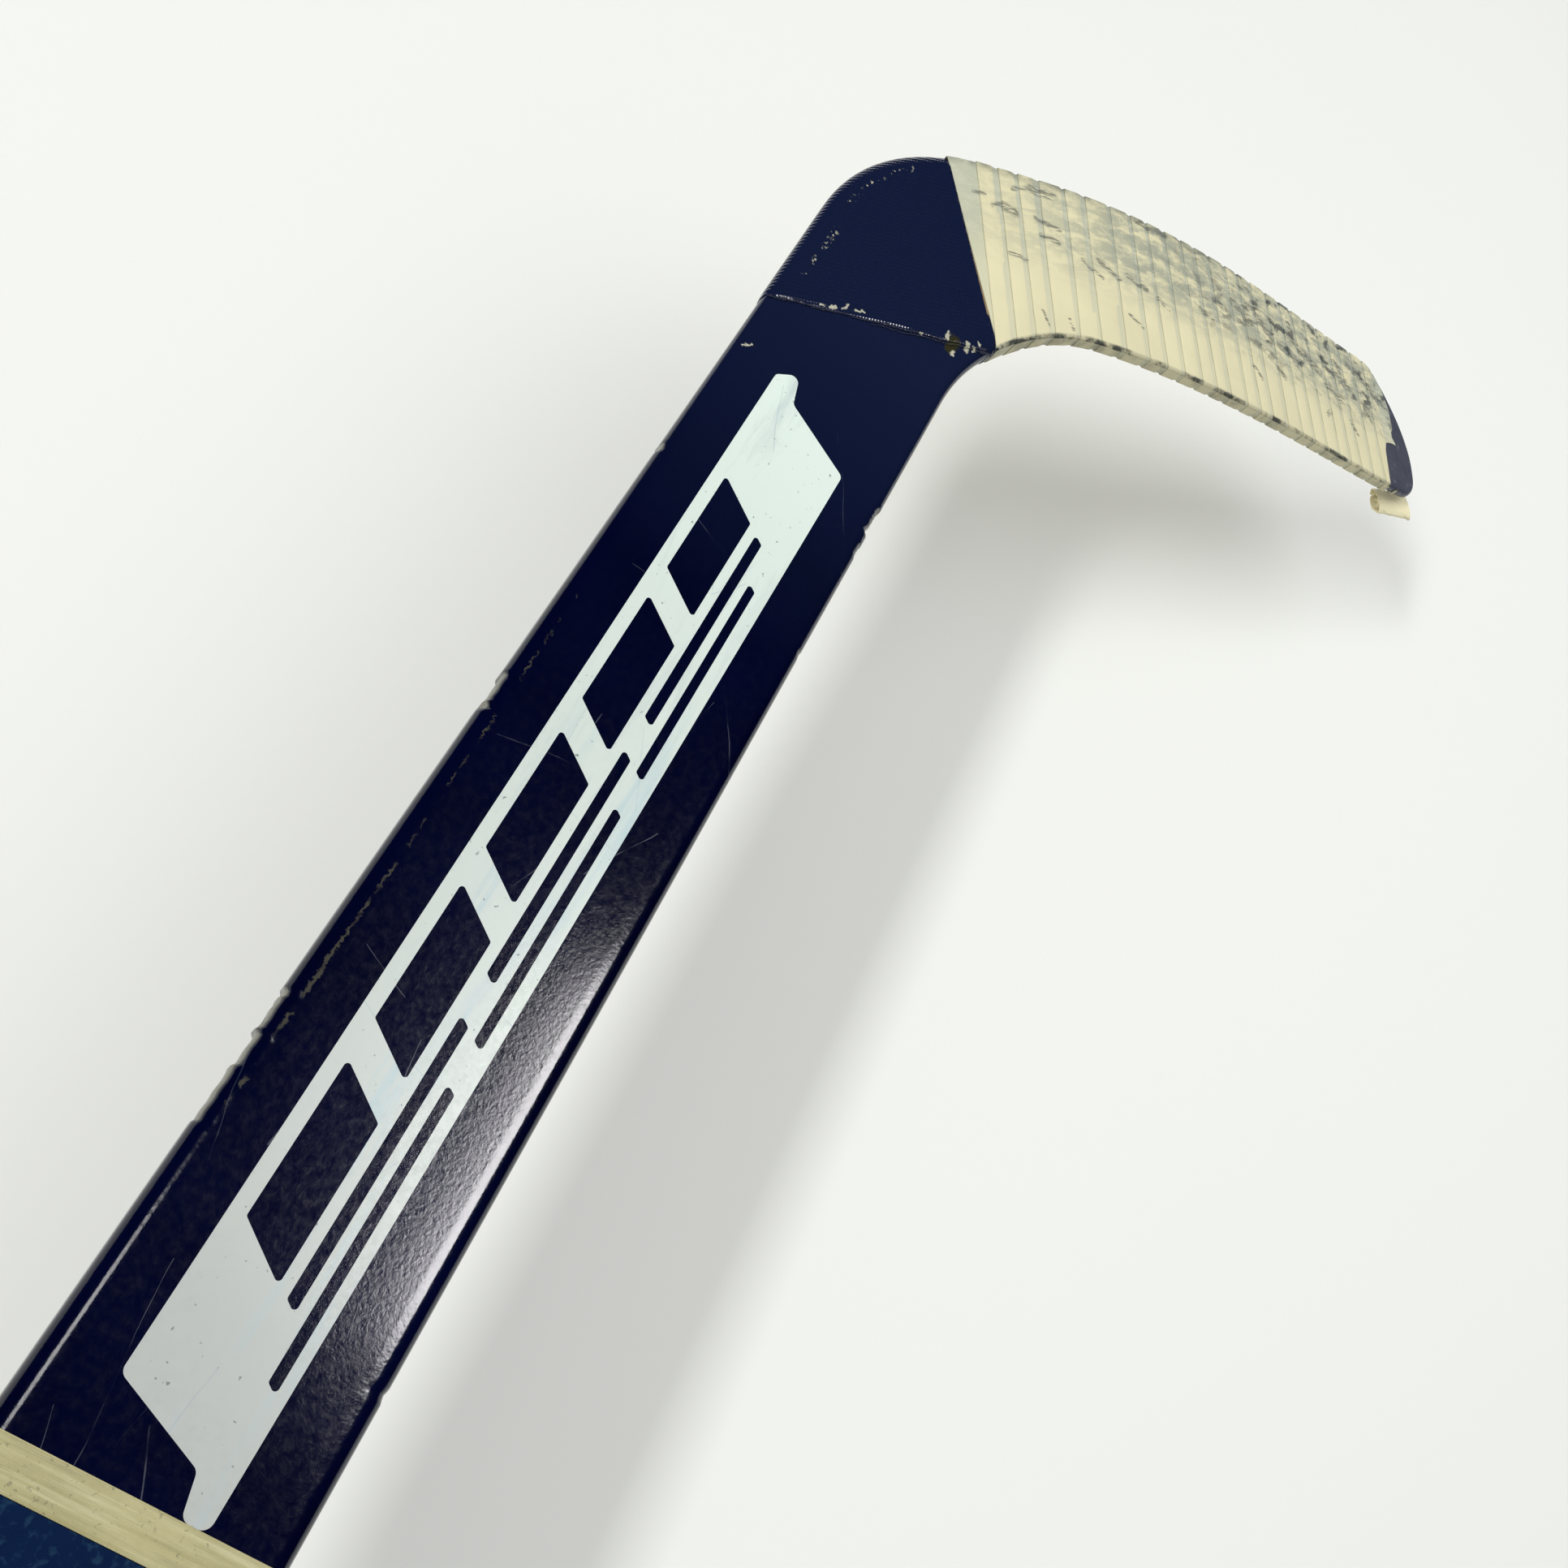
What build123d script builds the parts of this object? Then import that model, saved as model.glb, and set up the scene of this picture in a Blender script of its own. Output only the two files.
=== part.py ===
from build123d import *
import math
import os

# Goalkeeper's ice hockey stick: a foam-cored paddle on a laminated wooden shaft, with a curved
# blade spliced on at the heel. Millimetres. The stick is modelled lying on its back: +X runs
# along the shaft from the heel to the butt, +Y points towards the toe, +Z is the front face's
# outward normal. While the pieces are made, X is measured from the heel corner of the sole,
# Y from the middle of the paddle and Z from the paddle's front face. The last step moves
# everything so that the origin is the middle of the underside of the whole stick's box.

# ---- driving dimensions ----
PADDLE_WIDTH = 89.0
PADDLE_END = 655.0          # heel corner to the start of the shoulder
PADDLE_DEPTH = 19.0
PADDLE_CORNER = 6.0         # rounding of the long edges
RAMP_LENGTH = 140.0         # where the paddle thins down to the heel
HEEL_END = 130.0            # heel corner to the start of the paddle pieces
HEEL_DEPTH = 11.0
HEEL_CORNER = 4.5
SHOULDER_LENGTH = 80.0
SHAFT_WIDTH = 30.0
SHAFT_DEPTH = 19.0
SHAFT_CORNER = 4.0
SHAFT_END = 1430.0          # heel corner to the butt
CORE_WIDTH = 24.0           # the wooden core's width in the shaft and the paddle
EDGE_WIDTH = 6.0            # the paddle's side strips
LAMINATE = 1.0

BLADE_ANGLE = 123.1         # between the shaft and the sole
BLADE_LENGTH = 409.5        # along the sole, heel corner to the toe
BLADE_HEIGHT_HEEL = 83.5    # where the top edge would start at the heel
BLADE_HEIGHT = 89.5         # at the toe
BLADE_DEPTH = 5.2
DEPTH_EASE = 26.0           # how soon past the heel the blade has thinned
BLADE_STRIP = 5.0           # edge strips round the blade
SOLE_ROCKER = 5.0           # how far the sole rises towards the toe
SOLE_BEND = (0.52, 0.2)     # the sole's easy bend: share of the length, share of the rocker
TOE_SOLE_BACK = 23.0        # the toe's three corners before rounding: how far back from the
TOE_FRONT_PAST = 2.0        # toe or past it
TOE_TOP_BACK = 7.0
TOE_FRONT_HEIGHT = 0.55     # share of the blade's height
TOP_BEND = (0.5, 0.85)      # the top edge's easy bend: share of the length, share of the rise
HEEL_RADIUS = 100.0         # outer corner between the paddle and the sole
THROAT_RADIUS = 112.0       # inner corner between the paddle and the blade's top edge
TOE_SOLE_RADIUS = 32.0
TOE_FRONT_RADIUS = 65.0
TOE_TOP_RADIUS = 17.0
LONG_RADIUS = 2500.0        # the easy bends of the sole and the top edge
BEND_REACH = 0.12           # share of the blade's length that an easy bend may use on each side
CURVE_START = 90.0          # where the blade starts to bend back
CURVE_NEAR = 0.001205       # bend in mm per mm squared
CURVE_EASE = 0.00000178     # and how it eases off, in mm per mm cubed

SHAFT_TENON_LENGTH = 28.0
SHAFT_TENON_WIDTH = 16.0
BLADE_TENON_LENGTH = 36.0
BLADE_TENON_WIDTH = 30.0
BLADE_TENON_ROOT = 12.0     # how far the tongue runs on past the blade's start at the sole
TENON_THICKNESS = 3.6
TENON_GAP = 0.1

WRAP = 0.8                  # glass sleeve round the heel
WRAP_EDGE_HEEL_SIDE = 123.0  # the sleeve's slanted edge: X at the two sides of the paddle
WRAP_EDGE_TOE_SIDE = 64.0
TAPE = 0.9                  # cloth tape on the blade
TAPE_START_SOLE = 38.0      # tape and blade start, along the sole
TAPE_START_TOP = 48.5
TOE_BARE = 21.5             # the toe that the tape leaves bare
TOE_STRIP_OVERLAP = 14.0    # how far the toe strip runs back under the tape
TAIL_SIZE = (30.0, 21.0, 9.0)   # bunched end of the tape: along the blade, up and deep
TAIL_SET_IN = (17.0, 0.5)   # its middle, back from the toe and down from the top edge

RING_SET_BACK = 56.4        # from the ring's near edge to the shoulder
RING_WIDTH = 12.4
RING = 1.4
GRIP = 1.1
GRIP_PAST_SHOULDER = 55.0
PANEL = 0.15
PANEL_WIDTH = 45.0
PANEL_START = 147.0
PANEL_LEAN = 0.65           # slant of the panel's ends and windows
PANEL_MARGINS = (76.0, 46.0)    # plain panel before the first window and after the last
PANEL_CORNER = 3.0
WINDOW_CORNER = 1.2

KNOB_LENGTH = 28.0
KNOB_BUILD = 5.0
KNOB_TAPE = 0.9
KNOB_TAPE_LENGTH = 120.0

# ---- values that follow ----
HALF = PADDLE_WIDTH / 2
FAR = 400.0                 # larger than anything it cuts across
BELOW_SOLE = 30.0           # how far under the sole the curved sheets start
ANGLE = math.radians(BLADE_ANGLE)
ALONG = (math.cos(ANGLE), math.sin(ANGLE))
UP = (math.sin(ANGLE), -math.cos(ANGLE))
MIDDLE_HEIGHT = BLADE_HEIGHT_HEEL + TOP_BEND[1] * (BLADE_HEIGHT - BLADE_HEIGHT_HEEL)
RAMP_END = HEEL_END + RAMP_LENGTH
SHOULDER_END = PADDLE_END + SHOULDER_LENGTH
TAPE_END = BLADE_LENGTH - TOE_BARE
TAIL_PLACE = (BLADE_LENGTH - TAIL_SET_IN[0], BLADE_HEIGHT - TAIL_SET_IN[1])
RING_START = PADDLE_END - RING_SET_BACK
GRIP_END = SHOULDER_END + GRIP_PAST_SHOULDER

# rows of slanted windows in the panel: how many, each one's share of its pitch, its lower and
# upper sides as shares of the half width, and the row's shift as a share of the pitch
WINDOW_ROWS = (
    (5, 0.78, -0.76, 0.04, 0.0),
    (3, 0.86, 0.22, 0.40, 0.0),
    (3, 0.86, 0.56, 0.72, 0.14),
)
# the panel's outline: each corner's end of the panel, distance in from that end as a share of
# the lean, and place across as a share of the half width
PANEL_OUTLINE = (
    (0, 0.5, -1.0),
    (0, 0.0, -0.62),
    (0, 1.0, -0.44),
    (0, 2.0, 1.0),
    (1, 0.0, 0.87),
    (1, 0.0, 0.52),
    (1, 0.8, 0.38),
    (1, 1.6, -1.0),
)


def blade_point(along, up):
    """A point in plan, from its place along the sole and its height above it."""
    return (along * ALONG[0] + up * UP[0], -HALF + along * ALONG[1] + up * UP[1])


def box(x, y, z):
    """A block from three (low, high) pairs."""
    size = (x[1] - x[0], y[1] - y[0], z[1] - z[0])
    middle = ((x[0] + x[1]) / 2, (y[0] + y[1]) / 2, (z[0] + z[1]) / 2)
    return Pos(*middle) * Box(*size)


def prism(points, low=-FAR, high=FAR):
    """An upright block on a plan outline."""
    return Pos(0, 0, low) * extrude(make_face(Polyline(*points, close=True)), high - low)


# ---- the shaft and paddle as one outside shape, and the room between its two laminates ----
STATIONS = (
    (HEEL_END, PADDLE_WIDTH, HEEL_DEPTH, HEEL_CORNER),
    (RAMP_END, PADDLE_WIDTH, PADDLE_DEPTH, PADDLE_CORNER),
    (PADDLE_END, PADDLE_WIDTH, PADDLE_DEPTH, PADDLE_CORNER),
    (SHOULDER_END, SHAFT_WIDTH, SHAFT_DEPTH, SHAFT_CORNER),
    (SHAFT_END, SHAFT_WIDTH, SHAFT_DEPTH, SHAFT_CORNER),
)


def section(x, width, depth, corner, grow=0.0):
    """A rounded rectangle across the stick, grown outwards by grow."""
    place = Plane(origin=(x, 0, -depth / 2), x_dir=(0, 1, 0), z_dir=(1, 0, 0))
    return place * RectangleRounded(width + 2 * grow, depth + 2 * grow, corner + grow)


def body(grow=0.0):
    """The outside of the paddle and shaft, grown by grow."""
    return loft([section(*station, grow) for station in STATIONS], ruled=True)


def between_laminates():
    """The room behind the front laminate and in front of the back one."""
    sections = []
    for x, _, depth, _ in STATIONS:
        place = Plane(origin=(x, 0, -depth / 2), x_dir=(0, 1, 0), z_dir=(1, 0, 0))
        sections.append(place * Rectangle(FAR, depth - 2 * LAMINATE))
    return loft(sections, ruled=True)


# ---- the plan of the heel and blade ----
def top_corner():
    """Where the blade's top edge would meet the paddle's side, along the sole and up."""
    slope = (MIDDLE_HEIGHT - BLADE_HEIGHT_HEEL) / (TOP_BEND[0] * BLADE_LENGTH)
    run = (PADDLE_WIDTH - BLADE_HEIGHT_HEEL * UP[1]) / (ALONG[1] + slope * UP[1])
    return (run, BLADE_HEIGHT_HEEL + slope * run)


def easy_radius(before, corner, after):
    """An easy bend's radius, less where a sharper turn would use up the straight beside it."""
    slopes = [(b[1] - a[1]) / (b[0] - a[0]) for a, b in ((before, corner), (corner, after))]
    turn = abs(math.atan(slopes[0]) - math.atan(slopes[1]))
    return min(LONG_RADIUS, BEND_REACH * BLADE_LENGTH / math.tan(turn / 2))


def blade_plan():
    """Outline of the blade and heel, from the end of the paddle pieces to the toe."""
    heel = (0.0, 0.0)
    sole_bend = (SOLE_BEND[0] * BLADE_LENGTH, SOLE_BEND[1] * SOLE_ROCKER)
    toe_sole = (BLADE_LENGTH - TOE_SOLE_BACK, SOLE_ROCKER)
    toe_front = (BLADE_LENGTH + TOE_FRONT_PAST, TOE_FRONT_HEIGHT * BLADE_HEIGHT)
    toe_top = (BLADE_LENGTH - TOE_TOP_BACK, BLADE_HEIGHT)
    top_bend = (TOP_BEND[0] * BLADE_LENGTH, MIDDLE_HEIGHT)
    throat = top_corner()
    corners = (
        (heel, HEEL_RADIUS),
        (sole_bend, easy_radius(heel, sole_bend, toe_sole)),
        (toe_sole, TOE_SOLE_RADIUS),
        (toe_front, TOE_FRONT_RADIUS),
        (toe_top, TOE_TOP_RADIUS),
        (top_bend, easy_radius(toe_top, top_bend, throat)),
        (throat, THROAT_RADIUS),
    )
    points = [(HEEL_END, -HALF)]
    points += [blade_point(*place) for place, _ in corners]
    points += [(HEEL_END, HALF)]
    path = FilletPolyline(*points, radius=[radius for _, radius in corners])
    return make_face(path.edges() + [Line(points[-1], points[0])])


def rounded_plate(plan, low, high, corner):
    """The plan as a plate whose front and back rims are rounded."""
    plate = Pos(0, 0, low) * extrude(plan, high - low)
    rims = [
        edge
        for edge in plate.edges()
        if abs(edge.tangent_at(0.5).Z) < 0.5 and edge.center().X < HEEL_END - 0.01
    ]
    return fillet(rims, corner)


def start_line(shift=0.0):
    """The slanted line where the blade leaves the heel, as two points in plan."""
    slope = (TAPE_START_TOP - TAPE_START_SOLE) / BLADE_HEIGHT
    low = blade_point(TAPE_START_SOLE + shift - slope * FAR, -FAR)
    high = blade_point(TAPE_START_SOLE + shift + slope * FAR, FAR)
    return (low, high)


def toe_side_of(line):
    """Everything on the toe's side of a slanted line."""
    shift = (2 * FAR * ALONG[0], 2 * FAR * ALONG[1])
    far = [(point[0] + shift[0], point[1] + shift[1]) for point in line]
    return prism([line[0], far[0], far[1], line[1]])


# ---- the blade's curve ----
def bend(along):
    """How far the blade's front face has curved back at a place along the sole."""
    run = max(0.0, along - CURVE_START)
    return CURVE_NEAR * run ** 2 - CURVE_EASE * run ** 3


def blade_depth(along):
    """The blade's thickness, which falls from the heel's to its own a little past the heel."""
    run = max(0.0, along - TAPE_START_TOP - 2.0)
    ease = math.exp(-(run / DEPTH_EASE) ** 1.5)
    return BLADE_DEPTH + (HEEL_DEPTH - BLADE_DEPTH) * ease


def curved_layer(front, back):
    """A curved sheet from front to back: each is (share of the thickness, offset)."""
    stops = [TAPE_START_TOP + 10.0 * step for step in range(-4, 10)]
    rest = BLADE_LENGTH + BELOW_SOLE - stops[-1]
    stops += [stops[-1] + rest * (step + 1) / 14 for step in range(14)]
    place = Plane(origin=(0, -HALF, 0), x_dir=(*ALONG, 0), z_dir=(*UP, 0))

    def level(along, side):
        return -bend(along) - side[0] * blade_depth(along) + side[1]

    top = Spline(*[(along, level(along, front)) for along in stops])
    bottom = Spline(*[(along, level(along, back)) for along in stops])
    ends = [Line(top @ 0, bottom @ 0), Line(top @ 1, bottom @ 1)]
    sheet = extrude(place * make_face([top, bottom] + ends), FAR / 2)
    return Pos(-BELOW_SOLE * UP[0], -BELOW_SOLE * UP[1], 0) * sheet


# ---- pieces ----
parts = {}
outside = body()
filling = between_laminates()
plan = blade_plan()
blade_side = toe_side_of(start_line())
heel_plate = rounded_plate(plan, -HEEL_DEPTH, 0, HEEL_CORNER) - blade_side

paddle_x = (HEEL_END, PADDLE_END)
shoulder_x = (PADDLE_END, SHOULDER_END)
shaft_x = (SHOULDER_END, SHAFT_END)
core_y = (-CORE_WIDTH / 2, CORE_WIDTH / 2)
foam_edge = HALF - EDGE_WIDTH
everywhere = (-FAR, FAR)

shaft_tenon = box(
    (HEEL_END - SHAFT_TENON_LENGTH, HEEL_END),
    (-SHAFT_TENON_WIDTH / 2, SHAFT_TENON_WIDTH / 2),
    (-(HEEL_DEPTH + TENON_THICKNESS) / 2, -(HEEL_DEPTH - TENON_THICKNESS) / 2),
)
shaft_pocket = box(
    (HEEL_END - SHAFT_TENON_LENGTH - TENON_GAP, HEEL_END + 1),
    (-SHAFT_TENON_WIDTH / 2 - TENON_GAP, SHAFT_TENON_WIDTH / 2 + TENON_GAP),
    (
        -(HEEL_DEPTH + TENON_THICKNESS) / 2 - TENON_GAP,
        -(HEEL_DEPTH - TENON_THICKNESS) / 2 + TENON_GAP,
    ),
)
core_room = filling & box((HEEL_END, SHAFT_END), core_y, everywhere)
parts["shaft_core"] = core_room + shaft_tenon

for side, name in ((-1, "heel_side"), (1, "toe_side")):
    inner = CORE_WIDTH / 2
    foam_y = tuple(sorted((side * inner, side * foam_edge)))
    edge_y = tuple(sorted((side * foam_edge, side * FAR)))
    beside_y = tuple(sorted((side * inner, side * FAR)))
    parts["paddle_foam_" + name] = filling & box(paddle_x, foam_y, everywhere)
    parts["paddle_edge_" + name] = outside & box(paddle_x, edge_y, everywhere)
    parts["shoulder_block_" + name] = outside & filling & box(shoulder_x, beside_y, everywhere)
    parts["shaft_rail_" + name] = outside & box(shaft_x, beside_y, everywhere)

shaft_faces = (outside - filling) & box(shaft_x, core_y, everywhere)
skin_room = box(paddle_x, (-foam_edge, foam_edge), everywhere) + box(
    shoulder_x, everywhere, everywhere
)
paddle_faces = (outside - filling) & skin_room
heel_middle = box(everywhere, everywhere, (LAMINATE - HEEL_DEPTH, -LAMINATE))
heel_faces = heel_plate - heel_middle
for half, name in (((-HEEL_DEPTH / 2, FAR), "front"), ((-FAR, -HEEL_DEPTH / 2), "back")):
    half_space = box((-FAR, 2 * SHAFT_END), everywhere, half)
    parts["shaft_laminate_" + name] = shaft_faces & half_space
    parts["paddle_laminate_" + name] = (paddle_faces & half_space) + (heel_faces & half_space)

blade_solid = extrude(plan, FAR, both=True) & blade_side
core_plan = offset(plan, -BLADE_STRIP)
blade_core_room = extrude(core_plan, FAR, both=True)
face_front = (0.0, 0.0), (0.0, -LAMINATE)
face_back = (1.0, LAMINATE), (1.0, 0.0)
middle = curved_layer((0.0, -LAMINATE), (1.0, LAMINATE))
parts["blade_face_front"] = blade_solid & curved_layer(*face_front)
parts["blade_face_back"] = blade_solid & curved_layer(*face_back)


def tongue(grow):
    """The blade's tongue that plugs into the heel block, as a block in plan."""
    middle_height = 0.5 * BLADE_HEIGHT_HEEL
    root = TAPE_START_SOLE + BLADE_TENON_ROOT
    tip = root - BLADE_TENON_LENGTH - grow
    low = middle_height - BLADE_TENON_WIDTH / 2 - grow
    high = middle_height + BLADE_TENON_WIDTH / 2 + grow
    corners = [
        blade_point(tip, low),
        blade_point(root, low),
        blade_point(root, high),
        blade_point(tip, high),
    ]
    bottom = -(HEEL_DEPTH + TENON_THICKNESS) / 2 - grow
    top = -(HEEL_DEPTH - TENON_THICKNESS) / 2 + grow
    return prism(corners, bottom, top)


parts["blade_core"] = (blade_solid & middle & blade_core_room) + (tongue(0.0) - blade_side)
rim = (blade_solid & middle) - blade_core_room
strip_start = TAPE_END - TOE_STRIP_OVERLAP
toe_end = toe_side_of([blade_point(strip_start, -FAR), blade_point(strip_start, FAR)])
half_height = BLADE_HEIGHT / 2
upper = prism([
    blade_point(-FAR, half_height),
    blade_point(FAR * 2, half_height),
    blade_point(FAR * 2, FAR),
    blade_point(-FAR, FAR),
])
parts["blade_toe_strip"] = rim & toe_end
parts["blade_sole_strip"] = rim - toe_end - upper
parts["blade_top_strip"] = (rim - toe_end) & upper
parts["heel_block"] = (heel_plate & heel_middle) - shaft_pocket - tongue(TENON_GAP)

# glass sleeve round the heel
wrap_plate = rounded_plate(
    offset(plan, WRAP), -HEEL_DEPTH - WRAP, WRAP, HEEL_CORNER + WRAP
)
slope = (WRAP_EDGE_TOE_SIDE - WRAP_EDGE_HEEL_SIDE) / PADDLE_WIDTH
low_edge = (WRAP_EDGE_HEEL_SIDE - slope * FAR, -HALF - FAR)
high_edge = (WRAP_EDGE_TOE_SIDE + slope * FAR, HALF + FAR)
sleeve_room = prism([low_edge, high_edge, (high_edge[0] - 3 * FAR, high_edge[1]),
                     (low_edge[0] - 3 * FAR, low_edge[1])])
parts["heel_wrap"] = (wrap_plate & sleeve_room) - blade_side - heel_plate

# cloth tape on the blade, and its bunched end
tape_plan = offset(plan, TAPE)
tape_room = extrude(tape_plan, FAR, both=True) & blade_side
taped = tape_room & curved_layer((0.0, TAPE), (1.0, -TAPE))
bare = blade_solid & curved_layer((0.0, 0.0), (1.0, 0.0))
past_tape = toe_side_of([blade_point(TAPE_END, -FAR), blade_point(TAPE_END, FAR)])
parts["blade_tape"] = taped - bare - past_tape
tail_x, tail_y = blade_point(*TAIL_PLACE)
tail_top = -bend(TAIL_PLACE[0] + TAIL_SIZE[0] / 2) - blade_depth(TAIL_PLACE[0])
tail = Pos(tail_x, tail_y, tail_top - TAIL_SIZE[2] / 2) * Rot(0, 0, BLADE_ANGLE) * fillet(
    Box(TAIL_SIZE[0], TAIL_SIZE[1], TAIL_SIZE[2]).edges(), 0.45 * TAIL_SIZE[2]
)
parts["tape_tail"] = tail - taped

# tape ring and cloth grip on the paddle
ring_room = box((RING_START, RING_START + RING_WIDTH), everywhere, everywhere)
grip_room = box((RING_START + RING_WIDTH, GRIP_END), everywhere, everywhere)
parts["paddle_tape_ring"] = (body(RING) - outside) & ring_room
parts["paddle_grip_wrap"] = (body(GRIP) - outside) & grip_room

# silver panel on the front face, with slanted windows
half_panel = PANEL_WIDTH / 2
lean = PANEL_LEAN * half_panel


def rounded_face(corners, radius):
    """A flat face with all its corners rounded."""
    face = make_face(Polyline(*corners, close=True))
    return fillet(face.vertices(), radius)


panel_outline = []
for end, inward, across in PANEL_OUTLINE:
    x = RING_START - inward * lean if end else PANEL_START + inward * lean
    panel_outline.append((x, across * half_panel))
panel = rounded_face(panel_outline, PANEL_CORNER)
window_run = RING_START - PANEL_START - sum(PANEL_MARGINS)
for count, share, low, high, shift in WINDOW_ROWS:
    pitch = window_run / count
    for number in range(count):
        start = PANEL_START + PANEL_MARGINS[0] + (number + shift) * pitch
        end = start + share * pitch
        corners = [
            (start + lean * low, half_panel * low),
            (end + lean * low, half_panel * low),
            (end + lean * high, half_panel * high),
            (start + lean * high, half_panel * high),
        ]
        panel -= rounded_face(corners, WINDOW_CORNER)
parts["front_panel"] = extrude(panel, PANEL)

# built-up knob at the butt, under its own tape
knob_x = (SHAFT_END - KNOB_LENGTH, SHAFT_END)
knob = body(KNOB_BUILD) & box(knob_x, everywhere, everywhere)
parts["knob_core"] = knob - outside
knob_over = body(KNOB_BUILD + KNOB_TAPE) & box(
    (knob_x[0] - KNOB_TAPE, SHAFT_END), everywhere, everywhere
)
sleeve = body(KNOB_TAPE) & box(
    (SHAFT_END - KNOB_TAPE_LENGTH, SHAFT_END), everywhere, everywhere
)
end_cap = extrude(
    section(SHAFT_END, SHAFT_WIDTH, SHAFT_DEPTH, SHAFT_CORNER, KNOB_BUILD + KNOB_TAPE), KNOB_TAPE
)
parts["knob_tape"] = sleeve + knob_over + end_cap - knob - outside

# ---- to the part's own frame ----
box_all = Compound(children=[Compound(piece.solids()) for piece in parts.values()]).bounding_box()
home = Pos(-box_all.center().X, -box_all.center().Y, -box_all.min.Z)
os.makedirs("parts", exist_ok=True)
for name, piece in parts.items():
    solids = (home * piece).solids()
    export_step(solids[0] if len(solids) == 1 else Compound(solids), f"parts/{name}.step")
print("origin at", [round(value, 3) for value in tuple(-home.position)])
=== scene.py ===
import math

import bpy
import numpy as np
from mathutils import Matrix, Vector


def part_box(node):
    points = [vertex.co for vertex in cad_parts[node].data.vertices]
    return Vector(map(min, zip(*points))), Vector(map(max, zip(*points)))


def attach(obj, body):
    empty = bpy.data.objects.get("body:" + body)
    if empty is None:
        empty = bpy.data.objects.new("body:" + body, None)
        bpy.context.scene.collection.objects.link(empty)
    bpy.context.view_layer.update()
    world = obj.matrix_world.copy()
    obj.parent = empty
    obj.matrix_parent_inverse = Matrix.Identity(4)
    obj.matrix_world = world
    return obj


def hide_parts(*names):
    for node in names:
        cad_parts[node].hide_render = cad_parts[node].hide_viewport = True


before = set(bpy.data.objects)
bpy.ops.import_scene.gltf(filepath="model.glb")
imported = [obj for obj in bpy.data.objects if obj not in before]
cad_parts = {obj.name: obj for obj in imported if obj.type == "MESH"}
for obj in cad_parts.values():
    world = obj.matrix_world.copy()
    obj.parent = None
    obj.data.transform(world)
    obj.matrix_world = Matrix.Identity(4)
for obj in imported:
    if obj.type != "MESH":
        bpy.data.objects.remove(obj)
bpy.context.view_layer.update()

# Everything is laid out in the stick's own millimetres: U along the shaft from the heel corner,
# V across the paddle towards the toe, W out of the front face. Rows on the blade use S along
# the sole from the heel corner and H up from the sole.
MM = 0.001
SHAFT_LENGTH = 1430.0
edge_low, edge_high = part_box("paddle_edge_heel_side")[0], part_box("paddle_edge_toe_side")[1]
ORIGIN = np.array(
    [
        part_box("shaft_core")[1].x - SHAFT_LENGTH * MM,
        (edge_low.y + edge_high.y) / 2,
        edge_high.z,
    ]
)
HALF = (edge_high.y - edge_low.y) / 2 / MM
PADDLE_DEPTH = (edge_high.z - edge_low.z) / MM
HEEL_END = (edge_low.x - ORIGIN[0]) / MM
PADDLE_END = (edge_high.x - ORIGIN[0]) / MM
RING_START, RING_END = [(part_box("paddle_tape_ring")[i].x - ORIGIN[0]) / MM for i in (0, 1)]
GRIP_END = (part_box("paddle_grip_wrap")[1].x - ORIGIN[0]) / MM
SHOULDER_END = (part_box("shoulder_block_toe_side")[1].x - ORIGIN[0]) / MM
SHAFT_HALF = (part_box("shaft_rail_toe_side")[1].y - ORIGIN[1]) / MM

HEEL_DEPTH = 11.0
HEEL_CORNER = 4.5
RAMP_LENGTH = 140.0  # where the paddle thins down to the heel
FLARE_END = 130.0  # U where the throat has run out into the paddle's straight side
PADDLE_CORNER = 6.0
SHAFT_CORNER = 4.0
BLADE_ANGLE = math.radians(123.1)
BLADE_LENGTH = 409.5
BLADE_HEIGHT = 89.5
BLADE_HEIGHT_HEEL = 83.5  # where the top edge would start at the heel
BLADE_DEPTH = 5.2
DEPTH_EASE = 26.0  # how soon past the heel the blade has thinned
SOLE_ROCKER = 5.0  # how far the sole rises towards the toe
SOLE_BEND = (0.52, 0.2)  # the sole's easy bend: share of the length, share of the rocker
TOP_BEND = (0.5, 0.85)  # the top edge's easy bend: share of the length, share of the rise
LONG_RADIUS = 2500.0  # those two bends
HEEL_RADIUS = 100.0
THROAT_RADIUS = 112.0
TOE_SOLE_BACK, TOE_SOLE_RADIUS = 23.0, 32.0
TOE_FRONT_PAST, TOE_FRONT_HEIGHT, TOE_FRONT_RADIUS = 2.0, 0.55, 65.0
TOE_TOP_BACK, TOE_TOP_RADIUS = 7.0, 17.0
CURVE_START = 90.0  # where the blade starts to bend back
CURVE_NEAR, CURVE_EASE = 0.001205, 0.00000178
TAPE_START = (38.0, 48.5)  # S where the tape starts, at the sole and at the top edge
ALONG = np.array([math.cos(BLADE_ANGLE), math.sin(BLADE_ANGLE)])
UP = np.array([math.sin(BLADE_ANGLE), -math.cos(BLADE_ANGLE)])
RANDOM = np.random.default_rng(11)


# ---------------------------------------------------------------- shapes
def bend(s):
    """How far the blade's front face has curved back."""
    run = np.maximum(0.0, s - CURVE_START)
    return CURVE_NEAR * run**2 - CURVE_EASE * run**3


def blade_depth(s):
    ease = np.exp(-((np.maximum(0.0, s - TAPE_START[1] - 2) / DEPTH_EASE) ** 1.5))
    return BLADE_DEPTH + (HEEL_DEPTH - BLADE_DEPTH) * ease


def paddle_depth(u):
    share = np.clip((u - HEEL_END) / RAMP_LENGTH, 0, 1)
    return HEEL_DEPTH + (PADDLE_DEPTH - HEEL_DEPTH) * share


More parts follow.
